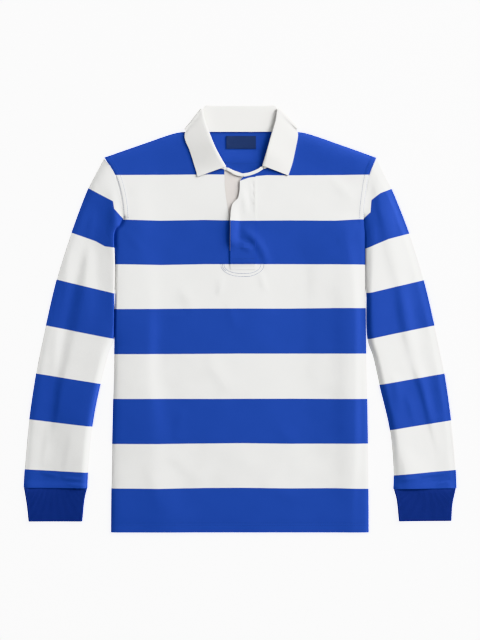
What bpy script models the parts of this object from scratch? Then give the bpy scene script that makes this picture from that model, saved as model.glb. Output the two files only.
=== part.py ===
"""Long-sleeve rugby shirt with a twill collar, laid flat on its back.

Every sewn piece is a closed cloth wall of its own. Plan sizes are in millimetres, from the
middle of the shirt: +X towards the wearer's left sleeve, +Y towards the collar, +Z up from
the surface that the shirt lies on. A wall is worked out as the surface half way through the
cloth, a grid of rows and columns, and then given its two skins.
"""
import bpy
import bmesh
import numpy as np

MM = 0.001

# Cloth, as thicknesses of the finished walls.
JERSEY = 1.5
TWILL = 1.6
RIB_KNIT = 2.0
LABEL_TAPE = 1.0
GAP = 0.3
HALF = JERSEY / 2

# The lay of the body: heights of the middle of the cloth above the surface.
BACK_LEVEL = HALF
LAYER_GAP = 0.6
FRONT_LEVEL = JERSEY + LAYER_GAP + HALF
FOLD_LEVEL = (BACK_LEVEL + FRONT_LEVEL) / 2
FOLD_RADIUS = (FRONT_LEVEL - BACK_LEVEL) / 2
LEVEL_OVER_FRONT = JERSEY + 0.4
COLLAR_OVER_FRONT = (JERSEY + TWILL) / 2 + 2 * GAP
SIDE_LOFT = 3.8
SHOULDER_LOFT = 1.5
LOFT_NEAR = 20.0
LOFT_FAR = 66.0
LOFT_LIMIT = 3.3

# Distances from an edge of the body, and from a folded edge of a sleeve, of the first points.
EDGE_STEPS = np.array([0.0, 3.0, 10.0])
FOLD_STEPS = np.array([0.0, 0.31, 1.05, 3.0, 10.0])
LOFT_STEPS = np.array([21.0, 40.0, 62.0])
PLACKET_STEPS = np.array([46.0, 24.0, 9.0, 0.0])
ARMHOLE_MIDDLE = 4
INNER_START = np.array([0.0, 6.0, 16.0])

HEM = -383.5
HEM_ROWS = (HEM, -380.0, -366.5)
PLACKET_BASE = 92.7
BODY_ROWS = 12
YOKE_ROWS = (92.7, 116.0, 139.0, 155.0, 162.0, 168.0, 175.0)
PLACKET_INNER = 19.6
NECK_SEAM = 338.0

RIBS = 29
RIB_HEIGHT = 0.5
CUFF_ROWS = (0.0, 0.06, 0.35, 0.65, 0.94, 1.0)
CUFF_LEVEL = RIB_KNIT + 0.4 + RIB_KNIT / 2
CUFF_APEX = 2.25
CUFF_STEPS = np.array([0.0, 0.37, 1.25])
CUFF_LOFT = 0.9

LABEL = {"left": -24.8, "right": 28.4, "low": 307.4, "high": 330.5}


def table(columns, *rows):
    """Give each column of a short list of rows its name."""
    values = np.array(rows, dtype=float)
    return {name: values[:, k] for k, name in enumerate(columns.split())}


# The folded sides of the body, hem to underarm.
SIDES = table("y wearer_right wearer_left",
              (-383.5, -232.4, 231.7),
              (-304.0, -231.8, 231.3),
              (-223.4, -230.4, 230.4),
              (-142.7, -228.6, 229.1),
              (-61.9, -226.8, 227.2),
              (19.4, -225.6, 226.2),
              (99.9, -224.4, 225.2),
              (161.1, -224.4, 224.8),
              (168.0, -217.5, 224.2),
              (181.0, -209.6, 222.8))

# Armhole seams, underarm to shoulder point.
ARMHOLE_RIGHT = table("x y",
                      (-209.6, 181.0), (-211.4, 206.1),
                      (-216.2, 233.1), (-225.6, 262.0), (-244.6, 291.6))
ARMHOLE_LEFT = table("x y",
                     (222.8, 181.0), (223.9, 199.0), (226.8, 226.0),
                     (233.2, 261.9), (245.5, 291.2))

# Shoulder folds, shoulder point to neck point.
SHOULDER_RIGHT = table("x y", (-244.6, 291.6), (-172.4, 316.8), (-114.7, 336.0), (-93.8, 338.0))
SHOULDER_LEFT = table("x y", (245.5, 291.2), (179.8, 314.8), (113.9, 336.4), (92.5, 338.0))

# Front neckline, neck point to placket.
NECK_RIGHT = table("x y",
                   (-93.8, 338.0), (-89.3, 317.7), (-77.6, 297.0),
                   (-57.8, 280.8), (-39.8, 274.5), (-29.0, 272.3))
NECK_LEFT = table("x y",
                  (92.5, 338.0), (88.0, 315.9), (73.6, 292.5), (53.8, 277.6),
                  (39.4, 270.0), (28.6, 265.0), (19.6, 261.4))

# The slit edge that carries the under placket, base to neck.
SLIT_EDGE = table("x y",
                  (-14.5, 92.7), (-19.0, 181.0), (-23.6, 206.0), (-27.2, 233.0),
                  (-28.6, 261.0), (-29.0, 272.3))

# The free edge of the fly, base to neck: its top corner has dropped back to the left.
FLY_EDGE = table("x y lift",
                 (-17.5, 90.0, 0.0), (-18.0, 112.0, 0.4), (-17.8, 135.0, 2.6),
                 (-17.6, 165.0, 3.0), (-17.3, 183.4, 2.4), (-14.0, 206.5, 1.6),
                 (-3.8, 218.5, 1.4), (-0.6, 234.0, 1.2), (0.2, 249.3, 0.8), (5.8, 256.6, 0.3))
FLY_INNER = 27.7
FLY_LIFT_REACH = 16.0

# Middle line of the neck tape under each collar end; the two ends meet at the front.
TAPE_RIGHT = table("x y", (-25.6, 271.4), (-19.3, 268.9), (-7.6, 262.3), (2.6, 259.9), (5.2, 259.7))
TAPE_LEFT = table("x y", (40.6, 273.6), (35.2, 269.4), (24.6, 264.3), (14.6, 261.2), (5.8, 259.6))
TAPE_WIDTH = 4.6

# Sleeves, station by station from the armhole to the cuff: the two folded edges.
SLEEVE_RIGHT = table("outer_x outer_y inner_x inner_y",
                     (-244.6, 291.6, -211.0, 181.4), (-262.0, 259.0, -220.0, 170.0),
                     (-273.6, 236.5, -226.2, 157.0),
                     (-304.0, 156.4, -226.2, 122.0), (-330.7, 72.0, -226.4, 47.0),
                     (-350.1, -10.6, -227.2, -34.9), (-359.5, -54.0, -236.4, -62.0),
                     (-367.7, -97.0, -250.6, -115.6), (-380.0, -179.6, -265.5, -193.1),
                     (-388.3, -269.5, -273.2, -275.4), (-390.2, -301.8, -274.5, -302.6))
SLEEVE_LEFT = table("outer_x outer_y inner_x inner_y",
                    (245.5, 291.2, 224.0, 181.4), (261.0, 259.0, 225.8, 170.0),
                    (273.1, 235.6, 226.4, 157.0),
                    (305.3, 154.6, 226.4, 122.0), (331.2, 71.1, 227.0, 46.0),
                    (350.6, -10.8, 229.2, -36.9), (359.8, -54.0, 238.6, -66.0),
                    (368.5, -97.0, 250.4, -117.7), (380.5, -181.6, 269.3, -199.3),
                    (388.8, -270.5, 276.1, -280.4), (390.2, -302.6, 275.6, -304.4))
SLEEVE_LOFT = 2.6
BEND_REACH = 115.0
BEND_REACH_INNER = 18.0
SIDE_CLEARANCE = 0.45
LEAST_SLANT = 0.35
SEAM_CLEARANCE = 1.0
SEAM_CLEARANCE_REACH = 14.0

# Rib cuffs: the folded edges from the sleeve seam to the hand.
CUFF_RIGHT = table("outer_x outer_y inner_x inner_y",
                   (-389.6, -303.0, -275.0, -303.8), (-384.9, -331.0, -279.6, -324.0),
                   (-381.2, -363.6, -283.7, -363.6))
CUFF_LEFT = table("outer_x outer_y inner_x inner_y",
                  (389.0, -303.8, 276.4, -305.6), (383.2, -331.0, 281.4, -324.0),
                  (381.0, -362.4, 285.6, -363.4))

# Soft folds: a rounded ridge along each line, or a trough where the height is below zero.
BODY_FOLDS = table("x0 y0 x1 y1 width height",
                   (12.0, 150.0, 50.0, 104.0, 14.0, 1.8),
                   (196.0, 96.0, 203.0, -360.0, 15.0, 1.0),
                   (-162.0, 140.0, -167.0, -190.0, 17.0, 1.3),
                   (-206.0, 150.0, -196.0, 60.0, 10.0, 0.8),
                   (150.0, 120.0, 120.0, -40.0, 16.0, 0.6))
SLEEVE_RIGHT_FOLDS = table("x0 y0 x1 y1 width height",
                           (-266.6, 224.0, -309.8, 62.0, 14.0, 2.5),
                           (-313.4, 53.0, -345.8, -145.0, 13.0, 2.0),
                           (-252.0, 152.0, -250.0, -10.0, 12.0, 2.2),
                           (-255.8, -19.0, -288.0, -199.0, 12.0, 1.8),
                           (-234.0, 215.0, -236.0, 93.0, 8.0, -2.6),
                           (-273.8, 125.0, -288.2, -28.0, 9.0, -2.0),
                           (-292.0, -60.0, -330.0, -230.0, 10.0, -1.4))
SLEEVE_LEFT_FOLDS = table("x0 y0 x1 y1 width height",
                          (277.0, 224.0, 287.8, 103.5, 12.0, 2.9),
                          (296.8, 53.0, 338.0, -145.0, 12.0, 2.2),
                          (260.8, 53.0, 287.8, -181.0, 11.0, 1.8),
                          (253.6, 224.0, 257.2, 103.5, 9.0, -2.8),
                          (284.2, 35.0, 309.4, -181.0, 8.0, -1.6),
                          (350.0, -150.0, 352.0, -260.0, 11.0, 1.2))

# The collar, station by station: neck seam and outer edge with their clearance over the
# front, and the roll with half the room inside it. The fall lies over the stand in front.
COLLAR_FRONT = "n_x n_y n_rise r_x r_y r_z f_x f_y f_rise room"
COLLAR_RIGHT = table(COLLAR_FRONT,
                     (-30.2, 270.4, 0.0, -25.4, 275.8, 6.3, -76.3, 256.9, 0.4, 1.1),
                     (-53.0, 277.0, 0.0, -36.2, 293.8, 7.6, -81.4, 274.5, 1.2, 1.6),
                     (-79.2, 295.6, 0.0, -48.8, 319.5, 8.2, -90.5, 303.3, 2.6, 1.5),
                     (-92.4, 323.0, 0.4, -63.9, 360.9, 8.4, -99.4, 326.0, 3.6, 1.4),
                     (-90.0, 340.5, 1.2, -66.8, 378.0, 8.2, -98.5, 340.4, 4.2, 1.3))
COLLAR_LEFT = table(COLLAR_FRONT,
                    (89.5, 341.5, 1.2, 66.3, 379.4, 8.2, 102.1, 342.7, 4.2, 1.3),
                    (91.8, 322.0, 0.4, 63.7, 360.9, 8.4, 103.8, 331.0, 3.6, 1.4),
                    (75.0, 290.5, 0.0, 54.7, 328.5, 8.2, 99.2, 305.0, 2.6, 1.5),
                    (55.0, 275.8, 0.0, 47.5, 302.4, 7.6, 93.8, 280.8, 1.2, 1.6),
                    (43.8, 271.0, 0.0, 40.0, 278.0, 6.3, 86.8, 259.0, 0.4, 1.1))
# Round the back the fall lies under the stand, so heights are above the surface.
COLLAR_BACK = table("n_x n_y n_z r_x r_y r_z f_x f_y f_z room",
                    (-90.0, 340.5, 2.7, -66.8, 378.0, 2.2, -98.5, 340.4, 0.9, 1.3),
                    (-76.0, 336.8, 2.7, -59.4, 382.7, 2.2, -84.0, 340.0, 0.9, 1.3),
                    (-47.0, 336.4, 2.7, -47.0, 382.8, 2.2, -50.4, 339.4, 0.9, 1.3),
                    (0.0, 336.4, 2.7, 0.0, 382.8, 2.2, 0.0, 339.4, 0.9, 1.3),
                    (47.0, 336.4, 2.7, 47.0, 382.8, 2.2, 50.4, 339.4, 0.9, 1.3),
                    (76.0, 336.8, 2.7, 59.4, 382.9, 2.2, 84.4, 340.0, 0.9, 1.3),
                    (89.5, 341.5, 2.7, 66.3, 379.4, 2.2, 102.1, 342.7, 0.9, 1.3))
COLLAR_SPAN = 2
MITRE_TURNS = np.radians([40.0, 75.0, 105.0, 140.0])


def smooth(values, per_span):
    """Points of the smooth curve through the rows of values, per_span to each gap."""
    values = np.asarray(values, dtype=float)
    before = 2 * values[0] - values[1]
    after = 2 * values[-1] - values[-2]
    knots = np.vstack([before, values, after])
    points = []
    for a, b, c, d in zip(knots, knots[1:], knots[2:], knots[3:]):
        gaps = [max(np.linalg.norm(q - p), 1e-6) ** 0.5 for p, q in ((a, b), (b, c), (c, d))]
        t = np.concatenate([[0.0], np.cumsum(gaps)])
        for s in np.linspace(t[1], t[2], per_span, endpoint=False):
            first = [mix(p, q, (s - t[k]) / (t[k + 1] - t[k]))
                     for k, (p, q) in enumerate(((a, b), (b, c), (c, d)))]
            second = [mix(first[k], first[k + 1], (s - t[k]) / (t[k + 2] - t[k])) for k in (0, 1)]
            points.append(mix(second[0], second[1], (s - t[1]) / (t[2] - t[1])))
    return np.vstack(points + [values[-1]])


def mix(a, b, share):
    """The value that lies the given share of the way from a to b."""
    return a + (b - a) * share


def path(rows, per_span=8):
    """Smooth plan curve through a table of x and y."""
    return smooth(np.column_stack([rows["x"], rows["y"]]), per_span)


def lengths(curve):
    """Distance along a curve at each of its points."""
    return np.concatenate([[0.0], np.cumsum(np.linalg.norm(np.diff(curve, axis=0), axis=1))])


def along(curve, distances):
    """Points of a curve at the given distances from its start."""
    run = lengths(curve)
    return np.column_stack([np.interp(distances, run, column) for column in curve.T])


def span(curve):
    """Whole length of a curve."""
    return lengths(curve)[-1]


def distance(points, curve):
    """Shortest plan distance from each point to a curve."""
    points = np.asarray(points)[..., None, :]
    start, step = curve[:-1], np.diff(curve, axis=0)
    share = np.clip(((points - start) * step).sum(-1) / (step ** 2).sum(-1), 0.0, 1.0)
    return np.linalg.norm(points - start - share[..., None] * step, axis=-1).min(-1)


def ease(value, near, far):
    """1 up to near, 0 from far, and a soft step between."""
    share = np.clip((far - value) / (far - near), 0.0, 1.0)
    return share * share * (3.0 - 2.0 * share)


def rounding(edge, radius=FOLD_RADIUS):
    """0 on a folded edge, rising as a quarter circle to 1 where the rounding ends."""
    return np.sqrt(1.0 - np.clip(1.0 - edge / radius, 0.0, 1.0) ** 2)


def loft(edge, crest, near=LOFT_NEAR, far=LOFT_FAR):
    """Rise of the upper cloth beside a fold: none on the fold, a crest, and flat again."""
    return crest * ease(edge, near, far) * (1.0 - ease(edge, 0.0, near))


def limited(rise):
    """Keep the rise of a panel under the limit of its loft."""
    return LOFT_LIMIT * np.tanh(np.maximum(rise, 0.0) / LOFT_LIMIT)


def steps(length, middle, near=FOLD_STEPS):
    """Distances along an edge, with its first points close together at both ends."""
    inside = np.linspace(near[-1], length - near[-1], middle + 2)[1:-1]
    return np.concatenate([near, inside, length - near[::-1]])


def folds(points, rows):
    """Sum of the soft ridges and troughs of a table at each plan point."""
    rise = np.zeros(points.shape[:-1])
    for x0, y0, x1, y1, width, height in zip(*rows.values()):
        line = np.array([[x0, y0], [x1, y1]])
        rise += height * np.exp(-(distance(points, line) / width) ** 2)
    return rise


def side_path(column):
    """A side edge of the body, hem to underarm."""
    return smooth(np.column_stack([SIDES[column], SIDES["y"]]), 6)


SIDE_PATHS = {"right": side_path("wearer_right"), "left": side_path("wearer_left")}
SHOULDER_PATHS = {"right": path(SHOULDER_RIGHT), "left": path(SHOULDER_LEFT)}
ARMHOLE_ROWS = {"right": ARMHOLE_RIGHT, "left": ARMHOLE_LEFT}
OUTWARD = {"right": -1, "left": 1}


def armhole_path(hand):
    """Armhole seam from the underarm fold to the shoulder fold."""
    curve = path(ARMHOLE_ROWS[hand])
    curve[0] = SIDE_PATHS[hand][-1]
    curve[-1] = SHOULDER_PATHS[hand][0]
    return curve


def fold_distances(points):
    """Distances from plan points to the sides and to the shoulders of the body."""
    side = np.minimum(distance(points, SIDE_PATHS["right"]), distance(points, SIDE_PATHS["left"]))
    shoulder = np.minimum(distance(points, SHOULDER_PATHS["right"]),
                          distance(points, SHOULDER_PATHS["left"]))
    return side, shoulder


def front_height(points):
    """Middle of the front panel above the surface, at plan points."""
    side, shoulder = fold_distances(points)
    rise = loft(side, SIDE_LOFT) + loft(shoulder, SHOULDER_LOFT)
    return FRONT_LEVEL + limited(rise + folds(points, BODY_FOLDS))


def lifted(plan, heights):
    """Plan points with their heights."""
    return np.concatenate([plan, heights[..., None]], axis=-1)


def coons(bottom, top, first, last, across, up):
    """Plan grid between four edges; across and up are the shares of its columns and rows."""
    u, v = across[None, :, None], up[:, None, None]
    ruled = mix(bottom[None], top[None], v) + mix(first[:, None], last[:, None], u)
    corners = mix(mix(bottom[0], bottom[-1], u), mix(top[0], top[-1], u), v)
    return ruled - corners


def yoke(hand, inner, top, bottom):
    """Plan grid of the upper body between a side and an inner edge, columns side first."""
    armhole = armhole_path(hand)
    below = np.array(YOKE_ROWS)
    side = np.column_stack([np.interp(below, SIDE_PATHS[hand][:, 1], SIDE_PATHS[hand][:, 0]), below])
    first = np.vstack([side, along(armhole, steps(span(armhole), ARMHOLE_MIDDLE, EDGE_STEPS))])
    start = np.interp(first[len(below), 1], inner[:, 1], lengths(inner))
    rest = span(inner) - start
    reach = steps(rest, ARMHOLE_MIDDLE, EDGE_STEPS)
    reach[:len(INNER_START)] = INNER_START
    low = np.interp(below, inner[:, 1], lengths(inner))
    last = along(inner, np.concatenate([low, start + reach]))
    across = lengths(bottom) / span(bottom)
    up = (lengths(first) / span(first) + lengths(last) / span(last)) / 2
    return coons(bottom, along(top, across * span(top)), first, last, across, up)


def side_columns(y, hand, inner_x, inner_steps):
    """Column positions of one row, from a side of the body to an inner edge."""
    edge = np.interp(y, SIDE_PATHS[hand][:, 1], SIDE_PATHS[hand][:, 0])
    near = edge - OUTWARD[hand] * np.concatenate([EDGE_STEPS, LOFT_STEPS])
    far = inner_x + OUTWARD[hand] * inner_steps
    return np.concatenate([near, [(near[-1] + far[0]) / 2], far])


def lower_rows(count):
    """Heights of the rows from the hem to the base of the placket."""
    return np.concatenate([HEM_ROWS, np.linspace(HEM_ROWS[-1], PLACKET_BASE, count + 1)[1:]])


def front_plan():
    """Plan grid of the front, a mask without the cells of the placket slit, and its edge."""
    slit_x, slit_cells = SLIT_EDGE["x"][0], 2
    rows = []
    for y in lower_rows(BODY_ROWS):
        right = side_columns(y, "right", slit_x, PLACKET_STEPS)
        left = side_columns(y, "left", PLACKET_INNER, PLACKET_STEPS)[::-1]
        middle = np.linspace(slit_x, PLACKET_INNER, slit_cells + 1)[1:-1]
        x = np.concatenate([right, middle, left])
        rows.append(np.column_stack([x, np.full(len(x), y)]))
    base = rows[-1]
    width = len(right)
    slit_right = np.vstack([path(SLIT_EDGE)[:-1], path(NECK_RIGHT)[::-1]])
    slit_left = np.vstack([[[PLACKET_INNER, PLACKET_BASE]], path(NECK_LEFT)[::-1]])
    yoke_right = yoke("right", slit_right, SHOULDER_PATHS["right"], base[:width])
    yoke_left = yoke("left", slit_left, SHOULDER_PATHS["left"], base[-width:][::-1])[:, ::-1]
    filler = np.stack([mix(yoke_right[:, -1], yoke_left[:, 0], k / slit_cells)
                       for k in range(1, slit_cells)], axis=1)
    upper = np.concatenate([yoke_right, filler, yoke_left], axis=1)
    plan = np.concatenate([np.stack(rows), upper[1:]])
    keep = np.ones((plan.shape[0] - 1, plan.shape[1] - 1), dtype=bool)
    keep[len(rows) - 1:, width - 1:width - 1 + slit_cells] = False
    slit = yoke_right[yoke_right[:, -1, 1] < SLIT_EDGE["y"][-1] + 0.1, -1]
    return plan, keep, slit


def back_plan():
    """Plan grid of the back, up to the neck seam."""
    rows = []
    for y in lower_rows(5):
        right = side_columns(y, "right", 0.0, np.zeros(1))
        left = side_columns(y, "left", 0.0, np.zeros(1))[::-1]
        x = np.concatenate([right, left[1:]])
        rows.append(np.column_stack([x, np.full(len(x), y)]))
    base = rows[-1]
    width = len(right)
    centre = np.array([[0.0, PLACKET_BASE], [0.0, NECK_SEAM]])
    tops = {hand: np.vstack([SHOULDER_PATHS[hand], [[0.0, NECK_SEAM]]]) for hand in OUTWARD}
    right = yoke("right", centre, tops["right"], base[:width])
    left = yoke("left", centre, tops["left"], base[-width:][::-1])[:, ::-1]
    upper = np.concatenate([right, left[:, 1:]], axis=1)
    return np.concatenate([np.stack(rows), upper[1:]])


def unit(vectors):
    """Vectors of length one along the given ones."""
    return vectors / np.linalg.norm(vectors, axis=-1, keepdims=True)


def across_folds(width, edges, rows):
    """Distances square to the two folds and, longer where a row leaves a fold aslant, along it."""
    square = steps(width, ARMHOLE_MIDDLE)
    cross = edges[..., 0] * rows[..., 1] - edges[..., 1] * rows[..., 0]
    first, last = 1.0 / np.clip(np.abs(cross), LEAST_SLANT, 1.0)
    reach = square.copy()
    reach[1:4] *= first
    reach[-4:-1] = width - (width - reach[-4:-1]) * last
    return square, reach


def sleeve_rings(hand, stations, ridges):
    """Middle of a sleeve's cloth, ring by ring: over the top from the outer to the inner edge."""
    outward = OUTWARD[hand]
    armhole = armhole_path(hand)[::-1]
    edges = smooth(np.column_stack(list(stations.values())), 2)
    tangents = unit(np.gradient(edges.reshape(-1, 2, 2), axis=0))
    ends = unit(np.array([armhole[1] - armhole[0], armhole[-1] - armhole[-2]]))
    nominal, sweep = across_folds(span(armhole), tangents[0], ends)
    seam = along(armhole, sweep)
    seam_height = front_height(seam)
    tangent = np.gradient(seam, axis=0)
    normal = np.column_stack([tangent[:, 1], -tangent[:, 0]]) * outward
    normal /= -np.linalg.norm(normal, axis=1)[:, None]
    near_end = ease(np.minimum(sweep, span(armhole) - sweep), 0.0, SEAM_CLEARANCE_REACH)
    seam = seam + normal * (GAP + SEAM_CLEARANCE * near_end)[:, None]
    straight = (sweep / span(armhole))[:, None]
    edges[0] = np.concatenate([seam[0], seam[-1]])
    rings = []
    run = lengths(edges[:, :2])
    for k, (outer_x, outer_y, inner_x, inner_y) in enumerate(edges):
        inset = HALF if k else 0.0
        outer = np.array([outer_x - outward * inset, outer_y])
        inner = np.array([inner_x + outward * inset, inner_y])
        if k:
            body = np.interp(inner_y, SIDE_PATHS[hand][:, 1], SIDE_PATHS[hand][:, 0])
            clear = body + outward * (2 * HALF + SIDE_CLEARANCE)
            inner[0] = outward * max(outward * inner[0], outward * clear)
        width = np.linalg.norm(inner - outer)
        if k:
            nominal, reach = across_folds(width, tangents[k], unit(inner - outer))
            share = reach[:, None] / width
        else:
            share = straight
        bend = ease(run[k], 0.0, mix(BEND_REACH, BEND_REACH_INNER, share ** 2))
        top = mix(outer, inner, share) + bend * (seam - mix(seam[0], seam[-1], straight))
        rings.append(sleeve_ring(top, nominal, ridges, seam_height, bend[:, 0] ** 2))
    return np.stack(rings)


def sleeve_ring(top, reach, ridges, seam_height, seam_share):
    """One ring: the domed upper cloth and, under it, the flat lower cloth."""
    edge = np.minimum(reach, reach[-1] - reach)
    rise = limited(loft(edge, SLEEVE_LOFT, 14.0, 52.0) + folds(top, ridges))
    over = mix(FRONT_LEVEL + rise, seam_height, seam_share)
    over = mix(FOLD_LEVEL, over, rounding(edge))
    under = mix(FOLD_LEVEL, BACK_LEVEL, rounding(edge))
    upper = lifted(top, over)
    lower = lifted(top, under)[1:-1][::-1]
    return np.concatenate([upper, lower])


def cuff_rings(stations):
    """Middle of a cuff's cloth, ring by ring, and the ribs that stand on its upper side."""
    edges = smooth(np.column_stack(list(stations.values())), 8)
    rings, ribs = [], []
    for share in CUFF_ROWS:
        place = along(edges, [share * span(edges)])[0]
        outer, inner = place[:2], place[2:]
        width = np.linalg.norm(inner - outer)
        inward = (inner - outer) / width
        width -= RIB_KNIT
        upper = np.concatenate([CUFF_STEPS, np.linspace(4.0, width - 4.0, 2 * RIBS + 1),
                                width - CUFF_STEPS[::-1]])
        lower = steps(width, 2, CUFF_STEPS)[1:-1][::-1]
        reach = np.concatenate([upper, lower])
        is_upper = np.arange(len(reach)) < len(upper)
        edge = np.minimum(reach, width - reach)
        full = np.where(is_upper, CUFF_LEVEL + CUFF_LOFT * ease(edge, 4.0, 45.0), RIB_KNIT / 2)
        height = mix(CUFF_APEX, full, rounding(edge, CUFF_APEX - RIB_KNIT / 2))
        plan = outer + inward * (RIB_KNIT / 2 + reach[:, None])
        rings.append(lifted(plan, height))
        crest = is_upper & (np.arange(len(reach)) % 2 == 0) & (edge >= 4.0)
        ribs.append(np.where(crest, RIB_HEIGHT, 0.0))
    return np.stack(rings), np.stack(ribs)


def collar_rows(rows, way):
    """Rows of the collar from neck seam over the roll; way is 1 with the fall on top."""
    lines = []
    for row in smooth(np.column_stack(list(rows.values())), COLLAR_SPAN):
        neck, roll, outer, room = row[0:3].copy(), row[3:6], row[6:9].copy(), row[9]
        if way > 0:
            neck[2] += front_height(neck[:2]) + COLLAR_OVER_FRONT
            outer[2] += front_height(outer[:2]) + COLLAR_OVER_FRONT
        forward = roll[:2] - neck[:2]
        forward = np.append(forward / np.linalg.norm(forward), 0.0)
        side = np.array([0.0, 0.0, way * room])
        centre = roll - forward * (room + TWILL / 2)
        arc = [centre - side * np.cos(a) + forward * room * np.sin(a)
               for a in np.linspace(0.0, np.pi, 5)]
        stand = [mix(neck, arc[0], s) for s in (0.0, 0.34, 0.7)]
        fall = [mix(arc[-1], outer, s) for s in (0.3, 0.66, 1.0)]
        lines.append(stand + arc + fall)
    return np.array(lines)


def mitre(first, last, hand):
    """The diagonal fold at a shoulder, where the collar turns over from front to back."""
    middle, half = (first + last) / 2, (first - last) / 2
    forward = middle[5, :2] - middle[0, :2]
    outward = OUTWARD[hand] * np.array([forward[1], -forward[0], 0.0]) / np.linalg.norm(forward)
    bulge = np.linalg.norm(half, axis=1)[:, None] * outward
    return np.array([middle + half * np.cos(t) + bulge * np.sin(t) for t in MITRE_TURNS])


def collar_grid():
    """Middle of the collar's cloth, from the wearer's right end round the back to the left."""
    right, left = collar_rows(COLLAR_RIGHT, 1), collar_rows(COLLAR_LEFT, 1)
    back = collar_rows(COLLAR_BACK, -1)
    return np.concatenate([right, mitre(right[-1], back[0], "right"), back,
                           mitre(back[-1], left[0], "left"), left])


def strip_grid(rows, width, height_over_front):
    """A narrow strip along a smooth line, lying on the front."""
    line = path(rows, 3)
    tangent = np.gradient(line, axis=0)
    normal = np.column_stack([-tangent[:, 1], tangent[:, 0]])
    normal /= np.linalg.norm(normal, axis=1)[:, None]
    plan = np.stack([line + normal * width * s for s in (-0.5, 0.0, 0.5)], axis=1)
    return lifted(plan, front_height(plan) + height_over_front)


def under_placket_grid(seam):
    """The under placket in the slit: its rows start from the points of the slit's edge."""
    top = np.vstack([path(TAPE_RIGHT), path(TAPE_LEFT)[::-1]])
    rows = []
    for share, (x, y) in zip(np.linspace(0.0, 1.0, len(seam)), seam):
        line = []
        for across in np.linspace(0.0, 1.0, 5):
            column = mix(x + GAP, PLACKET_INNER - GAP, across)
            high = np.interp(column, top[:, 0], top[:, 1]) - 0.6
            climb = (y - PLACKET_BASE) / (seam[-1, 1] - PLACKET_BASE)
            line.append((column, mix(PLACKET_BASE + GAP, mix(seam[-1, 1] - 1.0, high, across), climb)))
        rows.append(line)
    plan = np.array(rows)
    return lifted(plan, front_height(plan))


def fly_grid():
    """The fly that covers the placket: sewn along the inner edge, free and lifted on the other."""
    edge = smooth(np.column_stack(list(FLY_EDGE.values())), 2)
    tape = path(TAPE_LEFT)[::-1]
    low, high = edge[0, 1], edge[-1, 1]
    rows = []
    for x, y, lift in edge:
        share = (y - low) / (high - low)
        line = []
        for across in (0.0, 0.12, 0.3, 0.55, 0.8, 1.0):
            column = mix(x, FLY_INNER, across)
            under_tape = np.interp(column, tape[:, 0], tape[:, 1]) - TAPE_WIDTH / 2 - 2 * GAP
            height = lift * ease(column - x, 0.0, FLY_LIFT_REACH)
            line.append((column, y + share ** 4 * (under_tape - high) * min(1.0, across * 4), height))
        rows.append(line)
    grid = np.array(rows)
    plan = grid[..., :2]
    return lifted(plan, front_height(plan) + LEVEL_OVER_FRONT + grid[..., 2])


def label_grid():
    """The plain label on the inside of the back."""
    x = np.linspace(LABEL["left"], LABEL["right"], 3)
    y = np.linspace(LABEL["low"], LABEL["high"], 2)
    plan = np.stack(np.meshgrid(x, y), axis=-1)
    return lifted(plan, np.full(plan.shape[:2], JERSEY + GAP + LABEL_TAPE / 2))


def skins(grid, thickness, wrap):
    """Both skins of a wall, half its thickness to each side of the grid."""
    if wrap:
        grid = np.concatenate([grid, grid[:, :1]], axis=1)
    a, b, c, d = grid[:-1, :-1], grid[:-1, 1:], grid[1:, 1:], grid[1:, :-1]
    face = np.cross(c - a, d - b)
    face /= np.maximum(np.linalg.norm(face, axis=-1, keepdims=True), 1e-12)
    total = np.zeros_like(grid)
    count = np.zeros(grid.shape[:2] + (1,))
    for rows, columns in ((0, 0), (0, 1), (1, 1), (1, 0)):
        corner = (slice(rows, rows + len(face)), slice(columns, columns + face.shape[1]))
        total[corner] += face
        count[corner] += 1
    if wrap:
        for field in (total, count):
            field[:, 0] += field[:, -1]
        total, count, grid = total[:, :-1], count[:, :-1], grid[:, :-1]
    mean = total / count
    size = np.linalg.norm(mean, axis=-1, keepdims=True)
    offset = mean / size / np.maximum(size, 0.8) * thickness / 2
    return grid + offset, grid - offset


def sheet_mesh(rows, columns, keep):
    """Topology of an open sheet, a face to each cell that is kept."""
    bm = bmesh.new()
    row, column = bm.verts.layers.int.new("row"), bm.verts.layers.int.new("column")
    bmesh.ops.create_grid(bm, x_segments=columns - 1, y_segments=rows - 1, size=0.5)
    for vert in bm.verts:
        vert[column] = round((vert.co.x + 0.5) * (columns - 1))
        vert[row] = round((vert.co.y + 0.5) * (rows - 1))
    if keep is not None:
        cut = [face for face in bm.faces
               if not keep[min(v[row] for v in face.verts), min(v[column] for v in face.verts)]]
        bmesh.ops.delete(bm, geom=cut, context="FACES")
    return bm


def tube_mesh(rows, columns):
    """Topology of an open tube, ring after ring extruded from a circle."""
    bm = bmesh.new()
    row, column = bm.verts.layers.int.new("row"), bm.verts.layers.int.new("column")
    circle = bmesh.ops.create_circle(bm, segments=columns, radius=1.0)["verts"]
    for k, vert in enumerate(circle):
        vert[column] = k
    edges = list(bm.edges)
    for k in range(1, rows):
        made = bmesh.ops.extrude_edge_only(bm, edges=edges)["geom"]
        ring = {item for item in made if isinstance(item, bmesh.types.BMVert)}
        for vert in ring:
            vert.co.z += 1.0
            vert[row] = k
        edges = [item for item in made if isinstance(item, bmesh.types.BMEdge)
                 and ring.issuperset(item.verts)]
    return bm


def material(name, colour, roughness):
    """A plain cloth material."""
    finish = bpy.data.materials.new(name)
    finish.use_nodes = True
    shader = finish.node_tree.nodes["Principled BSDF"]
    shader.inputs["Base Color"].default_value = (*colour, 1.0)
    shader.inputs["Roughness"].default_value = roughness
    shader.inputs["Metallic"].default_value = 0.0
    return finish


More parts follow.
